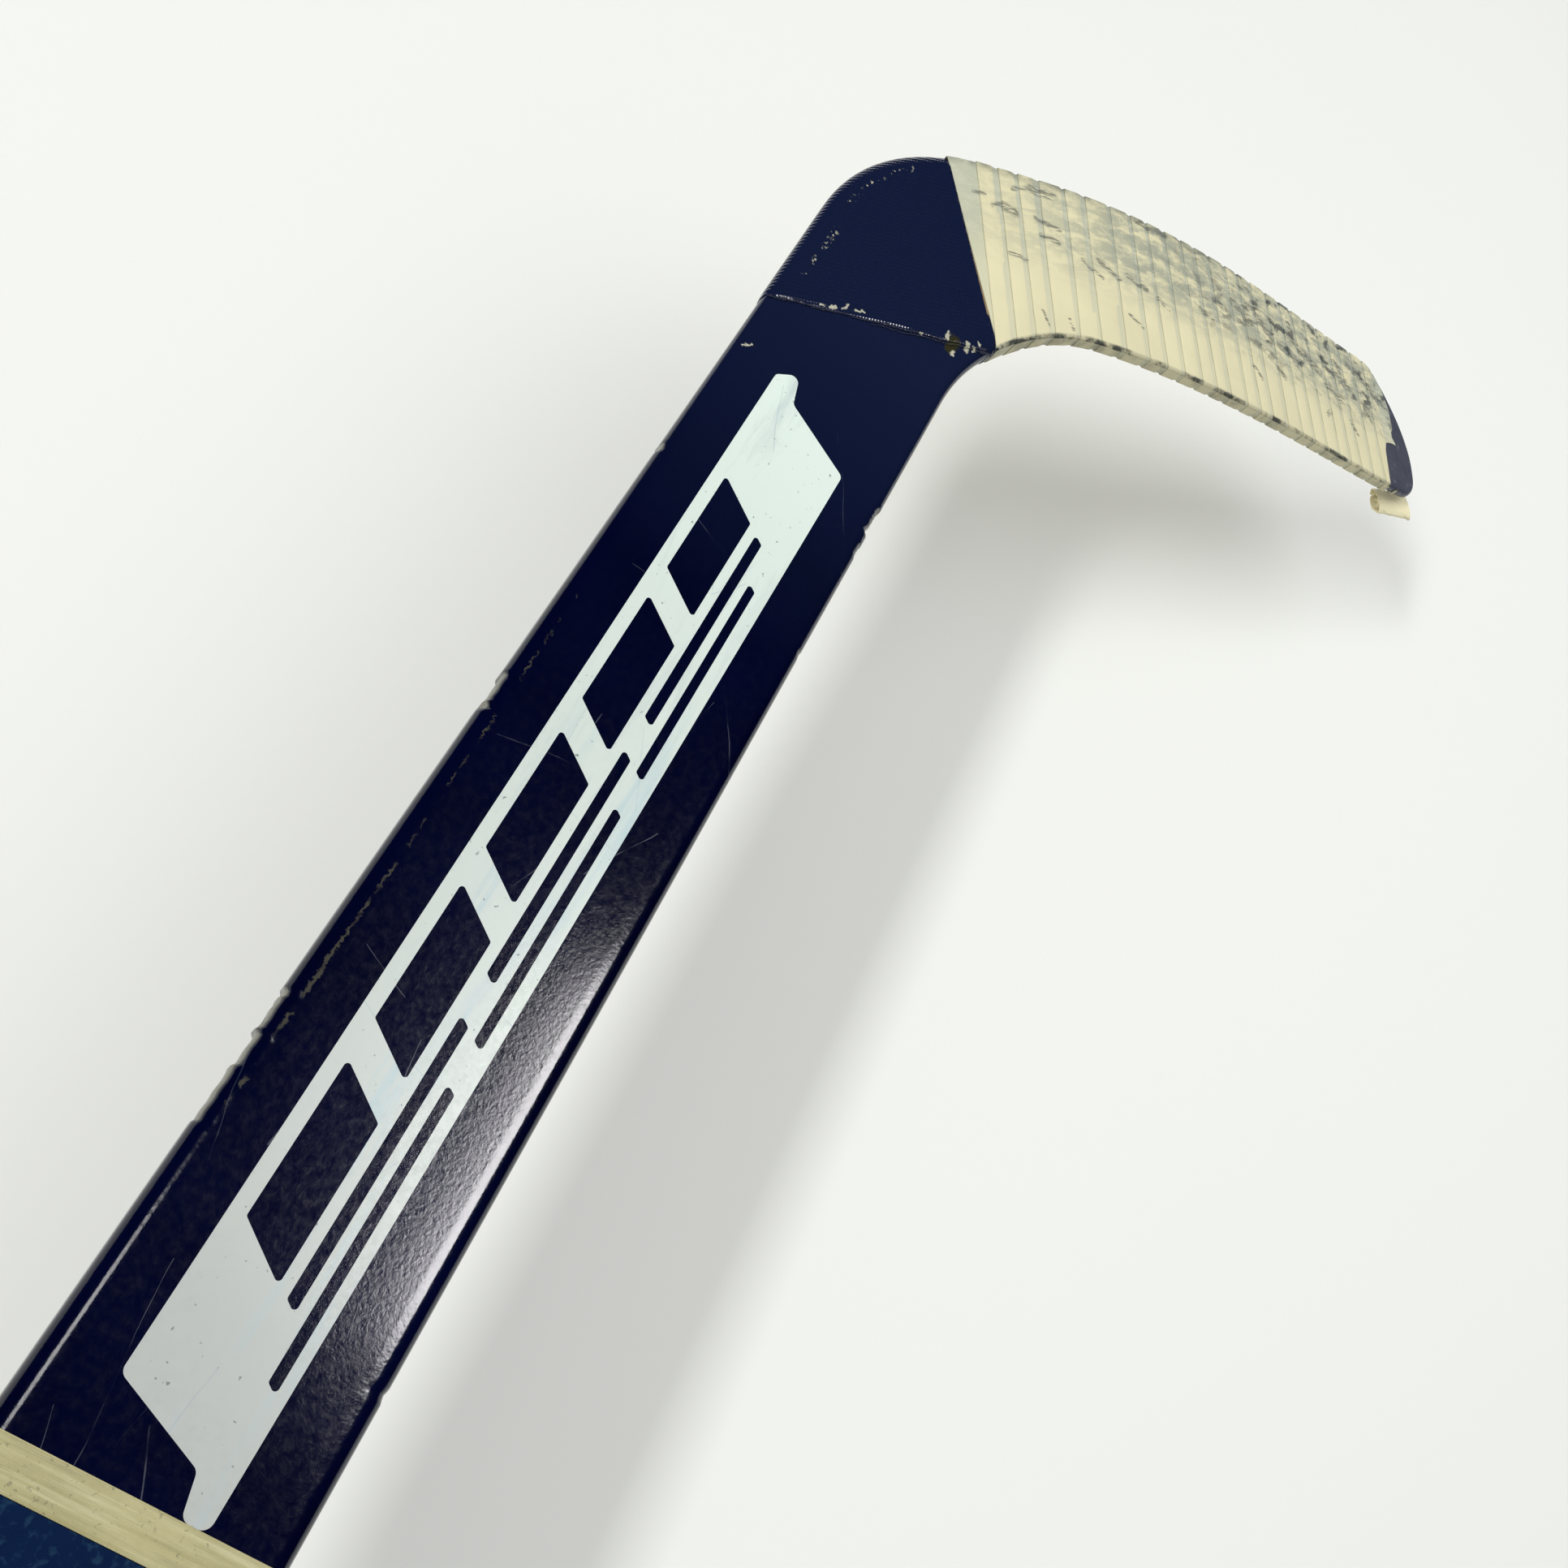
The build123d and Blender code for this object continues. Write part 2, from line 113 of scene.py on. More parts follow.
def paddle_corner(u):
    """Rounding of the paddle's long edges."""
    share = float(np.clip((u - HEEL_END) / RAMP_LENGTH, 0, 1))
    return HEEL_CORNER + (PADDLE_CORNER - HEEL_CORNER) * share


def plan_to_blade(u, v):
    x, y = u, v + HALF
    return x * ALONG[0] + y * ALONG[1], x * UP[0] + y * UP[1]


def blade_to_plan(s, h):
    return s * ALONG[0] + h * UP[0], -HALF + s * ALONG[1] + h * UP[1]


def rounded_path(corners, step=1.0):
    """Points along straight runs with a tangent arc at each inner corner: (x, y, radius)."""
    points = [np.array(corners[0][:2])]
    for before, corner, after in zip(corners, corners[1:], corners[2:]):
        middle, radius = np.array(corner[:2]), corner[2]
        back = np.array(before[:2]) - middle
        ahead = np.array(after[:2]) - middle
        back, ahead = back / np.linalg.norm(back), ahead / np.linalg.norm(ahead)
        half = math.acos(np.clip(back @ ahead, -1, 1)) / 2
        reach = radius / math.tan(half)
        bisector = (back + ahead) / np.linalg.norm(back + ahead)
        centre = middle + bisector * radius / math.sin(half)
        start, end = middle + back * reach - centre, middle + ahead * reach - centre
        sweep = math.pi - 2 * half
        count = max(3, int(radius * sweep / step))
        for share in np.linspace(0, 1, count + 1):
            mix = (math.sin((1 - share) * sweep) * start + math.sin(share * sweep) * end)
            points.append(centre + mix / math.sin(sweep))
    points.append(np.array(corners[-1][:2]))
    return np.array(points)


MIDDLE_HEIGHT = BLADE_HEIGHT_HEEL + TOP_BEND[1] * (BLADE_HEIGHT - BLADE_HEIGHT_HEEL)
slope = (MIDDLE_HEIGHT - BLADE_HEIGHT_HEEL) / (TOP_BEND[0] * BLADE_LENGTH)
throat_s = (2 * HALF - BLADE_HEIGHT_HEEL * UP[1]) / (ALONG[1] + slope * UP[1])
STRAIGHT = 60.0  # how much of the paddle's straight sides the outline takes in
outline = rounded_path(
    [
        (*plan_to_blade(HEEL_END + STRAIGHT, -HALF), 0),
        (0, 0, HEEL_RADIUS),
        (SOLE_BEND[0] * BLADE_LENGTH, SOLE_BEND[1] * SOLE_ROCKER, LONG_RADIUS),
        (BLADE_LENGTH - TOE_SOLE_BACK, SOLE_ROCKER, TOE_SOLE_RADIUS),
        (BLADE_LENGTH + TOE_FRONT_PAST, TOE_FRONT_HEIGHT * BLADE_HEIGHT, TOE_FRONT_RADIUS),
        (BLADE_LENGTH - TOE_TOP_BACK, BLADE_HEIGHT, TOE_TOP_RADIUS),
        (TOP_BEND[0] * BLADE_LENGTH, MIDDLE_HEIGHT, LONG_RADIUS),
        (throat_s, BLADE_HEIGHT_HEEL + slope * throat_s, THROAT_RADIUS),
        (*plan_to_blade(HEEL_END + STRAIGHT, HALF), 0),
    ]
)
tip_index = int(np.argmax(outline[:, 0]))
TIP_S = outline[tip_index, 0]
LOWER, UPPER = outline[: tip_index + 1], outline[tip_index:][::-1]


def sole(s):
    return np.interp(s, LOWER[:, 0], LOWER[:, 1])


def top(s):
    return np.interp(s, UPPER[:, 0], UPPER[:, 1])


upper_plan = np.array([blade_to_plan(*point) for point in UPPER])
lower_plan = np.array([blade_to_plan(*point) for point in LOWER])


def toe_side(u):
    """The paddle's toe-side edge, which flares into the throat near the heel."""
    order = np.argsort(upper_plan[:, 0])
    flare = np.interp(u, upper_plan[order, 0], upper_plan[order, 1])
    return np.where(u > FLARE_END, HALF, np.maximum(HALF, flare))


def ring(low, high, front, back, corner, counts=(24, 6)):
    """A closed rounded rectangle as (across, out) pairs: front face, high side, back, low side.
    corner is (across, out): how far the rounding reaches along each face."""
    across, out = corner
    faces, rounds = counts
    angles = np.linspace(0, math.pi / 2, rounds + 1)[1:]
    points = []
    for a in np.linspace(low + across, high - across, faces + 1):
        points.append((a, front))
    for t in angles:
        points.append((high - across + across * math.sin(t), front - out + out * math.cos(t)))
    points.append((high, back + out))
    for t in angles:
        points.append((high - across + across * math.cos(t), back + out - out * math.sin(t)))
    for a in np.linspace(high - across, low + across, faces + 1)[1:]:
        points.append((a, back))
    for t in angles:
        points.append((low + across - across * math.sin(t), back + out - out * math.cos(t)))
    points.append((low, front - out))
    for t in angles[:-1]:
        points.append((low + across - across * math.cos(t), front - out + out * math.sin(t)))
    return np.array(points)


# ---------------------------------------------------------------- mesh building
def row_frame(points):
    """Stick millimetres to the row frame's metres."""
    return np.asarray(points, float) * MM + ORIGIN


def make_mesh(name, points, faces, sharp=None):
    mesh = bpy.data.meshes.new(name)
    mesh.from_pydata(row_frame(points).tolist(), [], faces)
    mesh.validate()
    mesh.update()
    mesh.shade_smooth()
    if sharp:
        mesh.set_sharp_from_angle(angle=math.radians(sharp))
    piece = bpy.data.objects.new(name, mesh)
    bpy.context.scene.collection.objects.link(piece)
    return piece


def tube(name, grid, sharp=None):
    """A closed skin through a grid of rings: grid[station][point round the ring] = (u, v, w)."""
    grid = np.asarray(grid, float)
    stations, around = grid.shape[:2]
    faces = []
    for i in range(stations - 1):
        j = i + 1
        for k in range(around):
            n = (k + 1) % around
            faces.append((i * around + k, i * around + n, j * around + n, j * around + k))
    faces.append(tuple(range(around))[::-1])
    faces.append(tuple((stations - 1) * around + k for k in range(around)))
    return make_mesh(name, grid.reshape(-1, 3), faces, sharp=sharp)


def finish_piece(piece, material, slot, *nodes):
    piece.data.materials.clear()
    piece.data.materials.append(material)
    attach(piece, "root")
    if nodes:
        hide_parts(*nodes)
    return piece


# ---------------------------------------------------------------- node helpers
class Shader:
    """A node material, written as calls: each call adds one node and gives its output."""

    def __init__(self, name):
        self.material = bpy.data.materials.new(name)
        self.material.use_nodes = True
        self.tree = self.material.node_tree
        self.shade = self.tree.nodes["Principled BSDF"]
        self.where = self.add("ShaderNodeTexCoord").outputs["Object"]

    def add(self, kind, inputs=None, **settings):
        node = self.tree.nodes.new(kind)
        for key, value in settings.items():
            setattr(node, key, value)
        for key, value in (inputs or {}).items():
            self.put(node.inputs[key], value)
        return node

    def put(self, socket, value):
        if isinstance(value, bpy.types.NodeSocket):
            self.tree.links.new(value, socket)
        else:
            socket.default_value = value

    def place(self, shift=(0, 0, 0), turn=0.0, scale=(1, 1, 1), vector=None):
        """Coordinates in the row frame, moved, turned about Z and scaled."""
        inputs = {
            "Vector": vector or self.where,
            "Location": shift,
            "Rotation": (0, 0, turn),
            "Scale": scale,
        }
        return self.add("ShaderNodeMapping", inputs).outputs[0]

    def noise(self, scale, detail=3.0, rough=0.5, vector=None, distortion=0.0):
        inputs = {
            "Vector": vector or self.where,
            "Scale": scale,
            "Detail": detail,
            "Roughness": rough,
            "Distortion": distortion,
        }
        return self.add("ShaderNodeTexNoise", inputs).outputs["Fac"]

    def wave(self, period, vector=None, distortion=0.0, direction="X", detail=2.0):
        """Bands whose period is in metres: the texture turns 20 radians per unit of scale."""
        inputs = {
            "Vector": vector or self.where,
            "Scale": 2 * math.pi / 20 / period,
            "Distortion": distortion,
            "Detail": detail,
        }
        return self.add("ShaderNodeTexWave", inputs, bands_direction=direction).outputs["Fac"]

    def remap(self, value, low, high, to_low=0.0, to_high=1.0):
        inputs = {
            "Value": value,
            "From Min": low,
            "From Max": high,
            "To Min": to_low,
            "To Max": to_high,
        }
        return self.add("ShaderNodeMapRange", inputs, clamp=True).outputs[0]

    def math(self, operation, a, b=0.0, c=0.0):
        node = self.add("ShaderNodeMath", operation=operation)
        for socket, value in zip(node.inputs, (a, b, c)):
            self.put(socket, value)
        return node.outputs[0]

    def vector_math(self, operation, inputs, output=0):
        return self.add("ShaderNodeVectorMath", inputs, operation=operation).outputs[output]

    def mix(self, share, first, second):
        """Blend of two colours."""
        node = self.add("ShaderNodeMix", data_type="RGBA")
        self.put(node.inputs[0], share)
        for socket, value in ((node.inputs[6], first), (node.inputs[7], second)):
            self.put(socket, (*value, 1) if isinstance(value, tuple) else value)
        return node.outputs[2]

    def attribute(self, name):
        return self.add("ShaderNodeAttribute", attribute_name=name).outputs["Fac"]

    def axis(self, name, vector=None):
        return self.add("ShaderNodeSeparateXYZ", {"Vector": vector or self.where}).outputs[name]

    def bump(self, height, strength, distance, normal=None):
        inputs = {"Height": height, "Strength": strength, "Distance": distance}
        if normal:
            inputs["Normal"] = normal
        return self.add("ShaderNodeBump", inputs).outputs[0]

    def surface(self, color=None, rough=None, normal=None, **fixed):
        labels = {
            "metallic": "Metallic",
            "specular": "Specular IOR Level",
            "sheen": "Sheen Weight",
        }
        for key, value in fixed.items():
            self.shade.inputs[labels[key]].default_value = value
        names = (("Base Color", color), ("Roughness", rough), ("Normal", normal))
        for key, value in names:
            if isinstance(value, tuple):
                value = (*value, 1)
            if value is not None:
                self.put(self.shade.inputs[key], value)
        return self.material


def blade_axes(shader):
    """S and H, in metres, as a vector: the row frame turned to the blade."""
    corner_x, corner_y = ORIGIN[0], ORIGIN[1] - HALF * MM
    moved = shader.place(shift=(-corner_x, -corner_y, 0))
    turned = shader.place(vector=moved, turn=-BLADE_ANGLE)
    return shader.place(vector=turned, scale=(1, -1, 1))


def plan_axes(shader):
    """U and V, in metres, as a vector."""
    return shader.place(shift=(-ORIGIN[0], -ORIGIN[1], -ORIGIN[2]))


# ---------------------------------------------------------------- materials
def scratch_lines(count, box, lengths, lean, seed):
    """Random straight scratches in a box: (start, end, width) in millimetres."""
    random = np.random.default_rng(seed)
    lines = []
    for _ in range(count):
        x, y = random.uniform(box[0], box[1]), random.uniform(box[2], box[3])
        angle = random.normal(lean[0], lean[1])
        half = random.uniform(*lengths) / 2
        dx, dy = half * math.cos(angle), half * math.sin(angle)
        lines.append((x - dx, y - dy, x + dx, y + dy, random.uniform(0.14, 0.30)))
    return lines


def drawn_marks(shader, vector, lines):
    """One mask for many strokes."""
    masks = None
    for x0, y0, x1, y1, width in lines:
        mark = stroke(shader, vector, (x0, y0), (x1, y1), width)
        masks = mark if masks is None else shader.math("MAXIMUM", masks, mark)
    return masks


def wobbled(shader, vector, scale, amount):
    """The vector shaken by noise, so drawn lines aren't straight."""
    inputs = {"Vector": vector, "Scale": scale, "Detail": 3.0}
    noise = shader.add("ShaderNodeTexNoise", inputs).outputs["Color"]
    centred = shader.vector_math("SUBTRACT", {0: noise, 1: (0.5, 0.5, 0.5)})
    shake = shader.vector_math("SCALE", {0: centred, "Scale": amount})
    return shader.vector_math("ADD", {0: vector, 1: shake})


# pale flecks where the paint has chipped: (U, V) at both ends and the width, in millimetres
PAINT_FLECKS = (
    (106, -19, 104, -17, 0.9), (102, -14, 99, -13, 0.8), (98, -9, 96, -6, 0.7),
    (108, -23, 107, -22, 0.6),
    (76, 31.5, 72, 31, 1.2), (81, 37.5, 79, 37, 1.1), (73.5, 42, 70, 41, 1.4), (71, 45, 69, 44.5, 0.9),
    (66, 46, 65, 45, 0.7), (153, -40, 150, -37, 0.6), (243, 20, 241, 21, 0.5), (84, 20, 83, 21, 0.5),
)
OLIVE_CHIP = ((79.5, 34.5, 73, 34.5, 2.6), (79.5, 36, 73, 36, 2.6))
# the heel-side edge, where the paint has worn through along the rim of the front face
WORN_LINE = (
    (296, -38.4, 350, -38.2, 0.5), (350, -38.2, 404, -37.8, 0.45), (404, -37.8, 452, -38.4, 0.6),
    (452, -38.4, 506, -38.8, 0.8),
)


def navy_paint(name="navy_paint", ribs=False, gloss=(0.09, 0.19)):
    """Glossy navy paint with scratches, chips and a painted reflection near the heel; ribs adds the
    sleeve's cloth under it.
    """
    shader = Shader(name)
    plan = plan_axes(shader)
    cloud = shader.noise(14.0, detail=4.0)
    deep, lighter = (0.0003, 0.0009, 0.0120), (0.0006, 0.0016, 0.0200)
    base = shader.mix(shader.remap(cloud, 0.35, 0.7), deep, lighter)
    # painted reflection: the navy is mixed lighter towards the heel end and fades to deep navy down the
    # paddle
    painted_heel_reflection = shader.remap(shader.axis("X", plan), 0.10, 0.27, 1.0, 0.0)
    base = shader.mix(painted_heel_reflection, base, (0.0060, 0.0105, 0.0380))
    drawn = wobbled(shader, plan, 9.0, 0.020)
    box = (0, 125, -40, 60) if ribs else (150, 640, -41, 41)
    along = scratch_lines(1 if ribs else 13, box, (12, 75), (0.25, 0.35), 5)
    across = scratch_lines(1 if ribs else 7, box, (8, 40), (1.2, 0.5), 8)
    fine = drawn_marks(shader, drawn, along + across)
    broken = shader.remap(shader.noise(60.0, detail=3.0), 0.40, 0.58, 0.1, 1.0)
    fine = shader.math("MULTIPLY", fine, broken)
    base = shader.mix(shader.math("MULTIPLY", fine, 0.20), base, (0.07, 0.10, 0.16))
    rough_edge = wobbled(shader, plan, 600.0, 0.0036)
    flecks = drawn_marks(shader, rough_edge, PAINT_FLECKS)
    worn = drawn_marks(shader, rough_edge, WORN_LINE)
    gaps = shader.remap(shader.noise(110.0, detail=4.0), 0.50, 0.60, 0.0, 0.75)
    base = shader.mix(shader.math("MULTIPLY", worn, gaps), base, (0.065, 0.062, 0.048))
    olive = drawn_marks(shader, rough_edge, OLIVE_CHIP)
    base = shader.mix(olive, base, (0.028, 0.027, 0.012))
    chips = shader.math("MAXIMUM", shader.attribute("chip"), flecks)
    spots = shader.remap(shader.noise(520.0, detail=3.0), 0.60, 0.66)
    chips = shader.math("MAXIMUM", chips, shader.math("MULTIPLY", shader.attribute("fleck"), spots))
    grain = shader.noise(900.0, detail=3.0)
    chip_color = shader.mix(grain, (0.62, 0.62, 0.50), (0.24, 0.23, 0.17))
    base = shader.mix(chips, base, chip_color)
    haze = shader.noise(300.0, detail=6.0, rough=0.7, vector=plan)
    rough = shader.remap(haze, 0.35, 0.75, *gloss)
    rough = shader.math("ADD", rough, shader.math("MULTIPLY", fine, 0.3))
    rough = shader.math("ADD", rough, shader.math("MULTIPLY", chips, 0.5))
    peel = shader.noise(620.0, detail=3.0, rough=0.6, vector=plan)
    normal = shader.bump(peel, 0.28, 0.00012)
    if ribs:
        along_seam = shader.place(vector=plan, turn=RIB_TURN)
        rows = shader.wave(0.0021, vector=along_seam, distortion=1.0, direction="X")
        threads = shader.wave(0.0015, vector=along_seam, distortion=0.8, direction="Y")
        weave = shader.math("ADD", rows, shader.math("MULTIPLY", threads, 0.5))
        normal = shader.bump(weave, 0.45, 0.0003, normal)
    normal = shader.bump(fine, -0.05, 0.00005, normal)
    return shader.surface(base, rough, normal, specular=0.5)


SEAM_INNER = 64.6  # U where the sleeve's edge meets the throat
SEAM = ((123.0, -HALF), (64.0, HALF))
RIB_TURN = -math.atan2(SEAM[1][1] - SEAM[0][1], SEAM[1][0] - SEAM[0][0]) + math.pi / 2


def silver_print():
    """The silver panel printed on the front face."""
    shader = Shader("silver_print")
    plan = plan_axes(shader)
    # painted reflection: the silver is mixed lighter at the heel end and dims down the paddle
    along = shader.axis("X", plan)
    light = shader.remap(along, 0.15, 0.55)
    base = shader.mix(light, (0.735, 0.850, 0.800), (0.42, 0.445, 0.435))
    wipe = shader.place(vector=plan, turn=0.5, scale=(9.0, 60.0, 60.0))
    streak = shader.noise(1.0, detail=5.0, rough=0.7, vector=wipe, distortion=0.6)
    base = shader.mix(shader.remap(streak, 0.52, 0.72, 0.0, 0.5), base, (0.40, 0.47, 0.52))
    # blue rubs across the lower half
    rub = shader.place(vector=plan, turn=-0.75, scale=(7.0, 90.0, 60.0))
    rub = shader.remap(shader.noise(1.0, detail=5.0, rough=0.65, vector=rub, distortion=0.3), 0.54, 0.70)
    rub = shader.math("MULTIPLY", rub, shader.remap(along, 0.28, 0.36, 0.0, 0.55))
    base = shader.mix(rub, base, (0.30, 0.47, 0.56))
    drawn = wobbled(shader, plan, 9.0, 0.020)
    scratches = scratch_lines(14, (170, 590, -22, 22), (10, 40), (0.5, 0.6), 21)
    lines = drawn_marks(shader, drawn, scratches)
    base = shader.mix(shader.math("MULTIPLY", lines, 0.30), base, (0.20, 0.30, 0.42))
    specks = shader.remap(shader.noise(420.0, detail=2.0, vector=plan), 0.70, 0.74)
    base = shader.mix(shader.math("MULTIPLY", specks, 0.65), base, (0.05, 0.06, 0.09))
    rough = shader.remap(shader.noise(500.0, detail=4.0), 0.3, 0.8, 0.28, 0.46)
    normal = shader.bump(shader.noise(800.0, detail=3.0), 0.12, 0.00008)
    return shader.surface(base, rough, normal, metallic=0.08, specular=0.45)


def cloth_weave(shader, vector, pitch=0.00042):
    """Over-and-under threads: two crossed waves."""
    warp = shader.wave(pitch, vector=vector, direction="X", distortion=0.3)
    weft = shader.wave(pitch, vector=vector, direction="Y", distortion=0.3)
    return shader.math("ADD", warp, weft)


def stroke(shader, vector, start, end, width):
    """A mask that is 1 on the line from start to end, in metres, and fades off at width."""
    run = Vector((end[0] - start[0], end[1] - start[1], 0)) * MM
    origin = Vector((start[0], start[1], 0)) * MM
    flat = shader.vector_math("MULTIPLY", {0: vector, 1: (1, 1, 0)})
    rel = shader.vector_math("SUBTRACT", {0: flat, 1: tuple(origin)})
    dot = shader.vector_math("DOT_PRODUCT", {0: rel, 1: tuple(run)}, "Value")
    share = shader.math("DIVIDE", dot, run.length_squared)
    share = shader.add("ShaderNodeClamp", {"Value": share}).outputs[0]
    on = shader.vector_math("SCALE", {0: tuple(run), "Scale": share})
    away = shader.vector_math("DISTANCE", {0: rel, 1: on}, "Value")
    return shader.remap(away, width * MM * 0.45, width * MM, 1.0, 0.0)


# puck marks on the tape: (S, H) at both ends and the width, in millimetres
PUCK_STROKES = (
    (73, 11, 84, 6.5, 1.7), (84, 6.5, 98, 8.5, 3.2), (60, 23, 66, 20, 1.7), (67, 22, 73, 24, 3.5),
    (85, 24, 98, 27, 1.9), (87, 33, 97, 35, 1.9), (66, 49, 75, 50, 1.9), (110, 41, 122, 47, 1.6),
    (122, 38, 134, 45, 2.0), (140, 41, 152, 44, 1.9), (160, 47, 168, 51, 1.9), (50, 18, 56, 18, 1.4),
    (155, 3, 176, 4, 2.8), (268, 34, 286, 38, 3.2), (300, 32, 312, 36, 3.8), (330, 30, 345, 33, 4.3),
    (352, 16, 368, 21, 3.8), (210, 30, 222, 34, 2.9), (228, 24, 243, 30, 3.5), (372, 22, 380, 30, 3.5),
    (262, 52, 268, 56, 2.3), (236, 60, 242, 66, 2.0), (310, 64, 316, 60, 2.0), (338, 58, 343, 66, 1.9),
    (360, 44, 366, 50, 2.3), (196, 40, 204, 43, 2.2), (250, 24, 262, 33, 4.1), (283, 24, 298, 31, 3.8),
    (137, 64, 144, 69, 1.4), (95, 78, 97, 84, 1.3), (80, 76, 82, 84, 1.2), (316, 41, 330, 47, 2.9),
)


def cloth_tape(name="cloth_tape", light=(0.70, 0.655, 0.435), thin=(0.47, 0.495, 0.40), marks=True):
    """The blade's cream tape: seams darkened with painted shadow and grime, single layers, dirt and, if
    asked, puck marks.
    """
    shader = Shader(name)
    blade = blade_axes(shader)
    along, height = shader.axis("X", blade), shader.axis("Y", blade)
    layers = shader.attribute("layers")
    ragged = shader.noise(120.0, detail=4.0, vector=blade)
    uneven = shader.math("ADD", layers, shader.remap(ragged, 0.3, 0.7, -0.18, 0.18))
    single = shader.remap(uneven, 0.25, 0.75, 1.0, 0.0)
    cloud = shader.noise(26.0, detail=5.0, rough=0.6, vector=blade)
    base = shader.mix(shader.remap(cloud, 0.35, 0.7), light, tuple(c * 0.90 for c in light))
    lower = shader.remap(height, 0.015, 0.080, 0.80, 0.40)
    base = shader.mix(shader.math("MULTIPLY", single, lower), base, thin)
    # the dark line along each tape edge is partly a painted shadow of the overlapping edge, partly grime
    seam = shader.attribute("seam")
    base = shader.mix(shader.math("MULTIPLY", seam, 0.55), base, (0.20, 0.21, 0.17))
    rough = shader.remap(shader.noise(700.0), 0.3, 0.8, 0.60, 0.80)
    if marks:
        drawn = wobbled(shader, blade, 75.0, 0.0045)
        # soft grey smudges where the puck rubs: the sole's half, more of them towards the toe
        low_half = shader.remap(height, 0.036, 0.060, 1.0, 0.0)
        reach = shader.math("MULTIPLY", shader.remap(along, 0.06, 0.15, 0.30, 1.0), low_half)
        smear = shader.place(vector=blade, turn=-0.12, scale=(62.0, 150.0, 1.0))
        smudge = shader.noise(1.0, detail=7.0, rough=0.74, vector=smear, distortion=0.4)
        soft = shader.math("MULTIPLY", shader.remap(smudge, 0.40, 0.56), reach)
        base = shader.mix(shader.math("MULTIPLY", soft, 0.74), base, (0.245, 0.275, 0.235))
        dense = shader.math("MULTIPLY", reach, shader.remap(along, 0.15, 0.26))
        flecks = shader.place(vector=blade, turn=-0.35, scale=(80.0, 150.0, 1.0))
        fleck = shader.noise(1.0, detail=4.0, rough=0.62, vector=flecks, distortion=0.2)
        hard = shader.math("MULTIPLY", shader.remap(fleck, 0.53, 0.62), dense)
        base = shader.mix(shader.math("MULTIPLY", hard, 0.85), base, (0.035, 0.043, 0.048))
        rub = shader.remap(height, 0.0, 0.0055, 1.0, 0.0)
        rub = shader.math("MULTIPLY", rub, shader.remap(fleck, 0.36, 0.60))
        base = shader.mix(shader.math("MULTIPLY", rub, 0.85), base, (0.11, 0.12, 0.105))
        strokes = drawn_marks(shader, drawn, PUCK_STROKES)
        dashes = shader.place(vector=blade, turn=-0.1, scale=(150.0, 900.0, 1.0))
        torn = shader.remap(shader.noise(1.0, detail=3.0, vector=dashes), 0.40, 0.54)
        strokes = shader.math("MULTIPLY", strokes, torn)
        base = shader.mix(shader.math("MULTIPLY", strokes, 0.72), base, (0.075, 0.085, 0.080))
    fold = shader.attribute("fold")
    dirt = shader.remap(shader.noise(70.0, detail=5.0, rough=0.65, vector=blade), 0.46, 0.62, 0.25, 1.0)
    base = shader.mix(shader.math("MULTIPLY", fold, dirt), base, (0.045, 0.05, 0.04))
    normal = shader.bump(cloth_weave(shader, blade), 0.10, 0.00005)
    crumple = shader.noise(55.0 if marks else 210.0, detail=3.0 if marks else 6.0, vector=blade)
    normal = shader.bump(crumple, 0.20 if marks else 0.9, 0.0004 if marks else 0.0012, normal)
    return shader.surface(base, rough, normal, specular=0.3, sheen=0.08)


def satin_navy():
    """The bare toe's dull, rubbed paint."""
    shader = Shader("worn_satin_navy")
    blade = blade_axes(shader)
    cloud = shader.noise(60.0, detail=4.0, vector=blade)
    base = shader.mix(cloud, (0.040, 0.046, 0.075), (0.070, 0.078, 0.112))
    rub = shader.remap(shader.noise(330.0, detail=4.0, vector=blade), 0.62, 0.70)
    base = shader.mix(shader.math("MULTIPLY", rub, 0.5), base, (0.22, 0.24, 0.27))
    rough = shader.remap(cloud, 0.3, 0.7, 0.30, 0.45)
    normal = shader.bump(shader.noise(600.0), 0.2, 0.0001)
    return shader.surface(base, rough, normal, specular=0.5)


def ring_cloth():
    """Cream cloth tape whose fibres run round the paddle."""
    shader = Shader("ring_cloth")
    plan = plan_axes(shader)
    cloud = shader.noise(50.0, detail=5.0)
    base = shader.mix(shader.remap(cloud, 0.3, 0.7), (0.46, 0.42, 0.22), (0.37, 0.335, 0.17))
    fibres = shader.place(vector=plan, scale=(420.0, 16.0, 16.0))
    fibre_and_sheen = shader.noise(1.0, detail=6.0, rough=0.7, vector=fibres)
    # lighter streaks along the fibres: partly a painted highlight standing in for the ridge's sheen,
    # partly fibre tone; the darker streaks are fibre tone
    base = shader.mix(shader.remap(fibre_and_sheen, 0.50, 0.62, 0.0, 0.45), base, (0.62, 0.59, 0.38))
    base = shader.mix(shader.remap(fibre_and_sheen, 0.34, 0.46, 0.45, 0.0), base, (0.22, 0.205, 0.11))
    flecks = shader.remap(shader.noise(700.0), 0.64, 0.70)
    base = shader.mix(shader.math("MULTIPLY", flecks, 0.45), base, (0.12, 0.11, 0.07))
    normal = shader.bump(cloth_weave(shader, plan, 0.0005), 0.3, 0.0001)
    normal = shader.bump(fibre_and_sheen, 0.5, 0.0003, normal)
    return shader.surface(base, 0.55, normal, specular=0.4, sheen=0.1)


def blue_cloth():
    """The grip wrap's blue cloth."""
    shader = Shader("blue_cloth")
    plan = plan_axes(shader)
    cloud = shader.noise(45.0, detail=5.0, rough=0.6)
    base = shader.mix(shader.remap(cloud, 0.3, 0.7), (0.0005, 0.0075, 0.040), (0.0010, 0.0125, 0.055))
    lint = shader.remap(shader.noise(420.0, detail=5.0), 0.54, 0.68)
    base = shader.mix(shader.math("MULTIPLY", lint, 0.35), base, (0.020, 0.065, 0.120))
    normal = shader.bump(cloth_weave(shader, plan, 0.0006), 0.5, 0.00016)
    return shader.surface(base, 0.85, normal, specular=0.1)


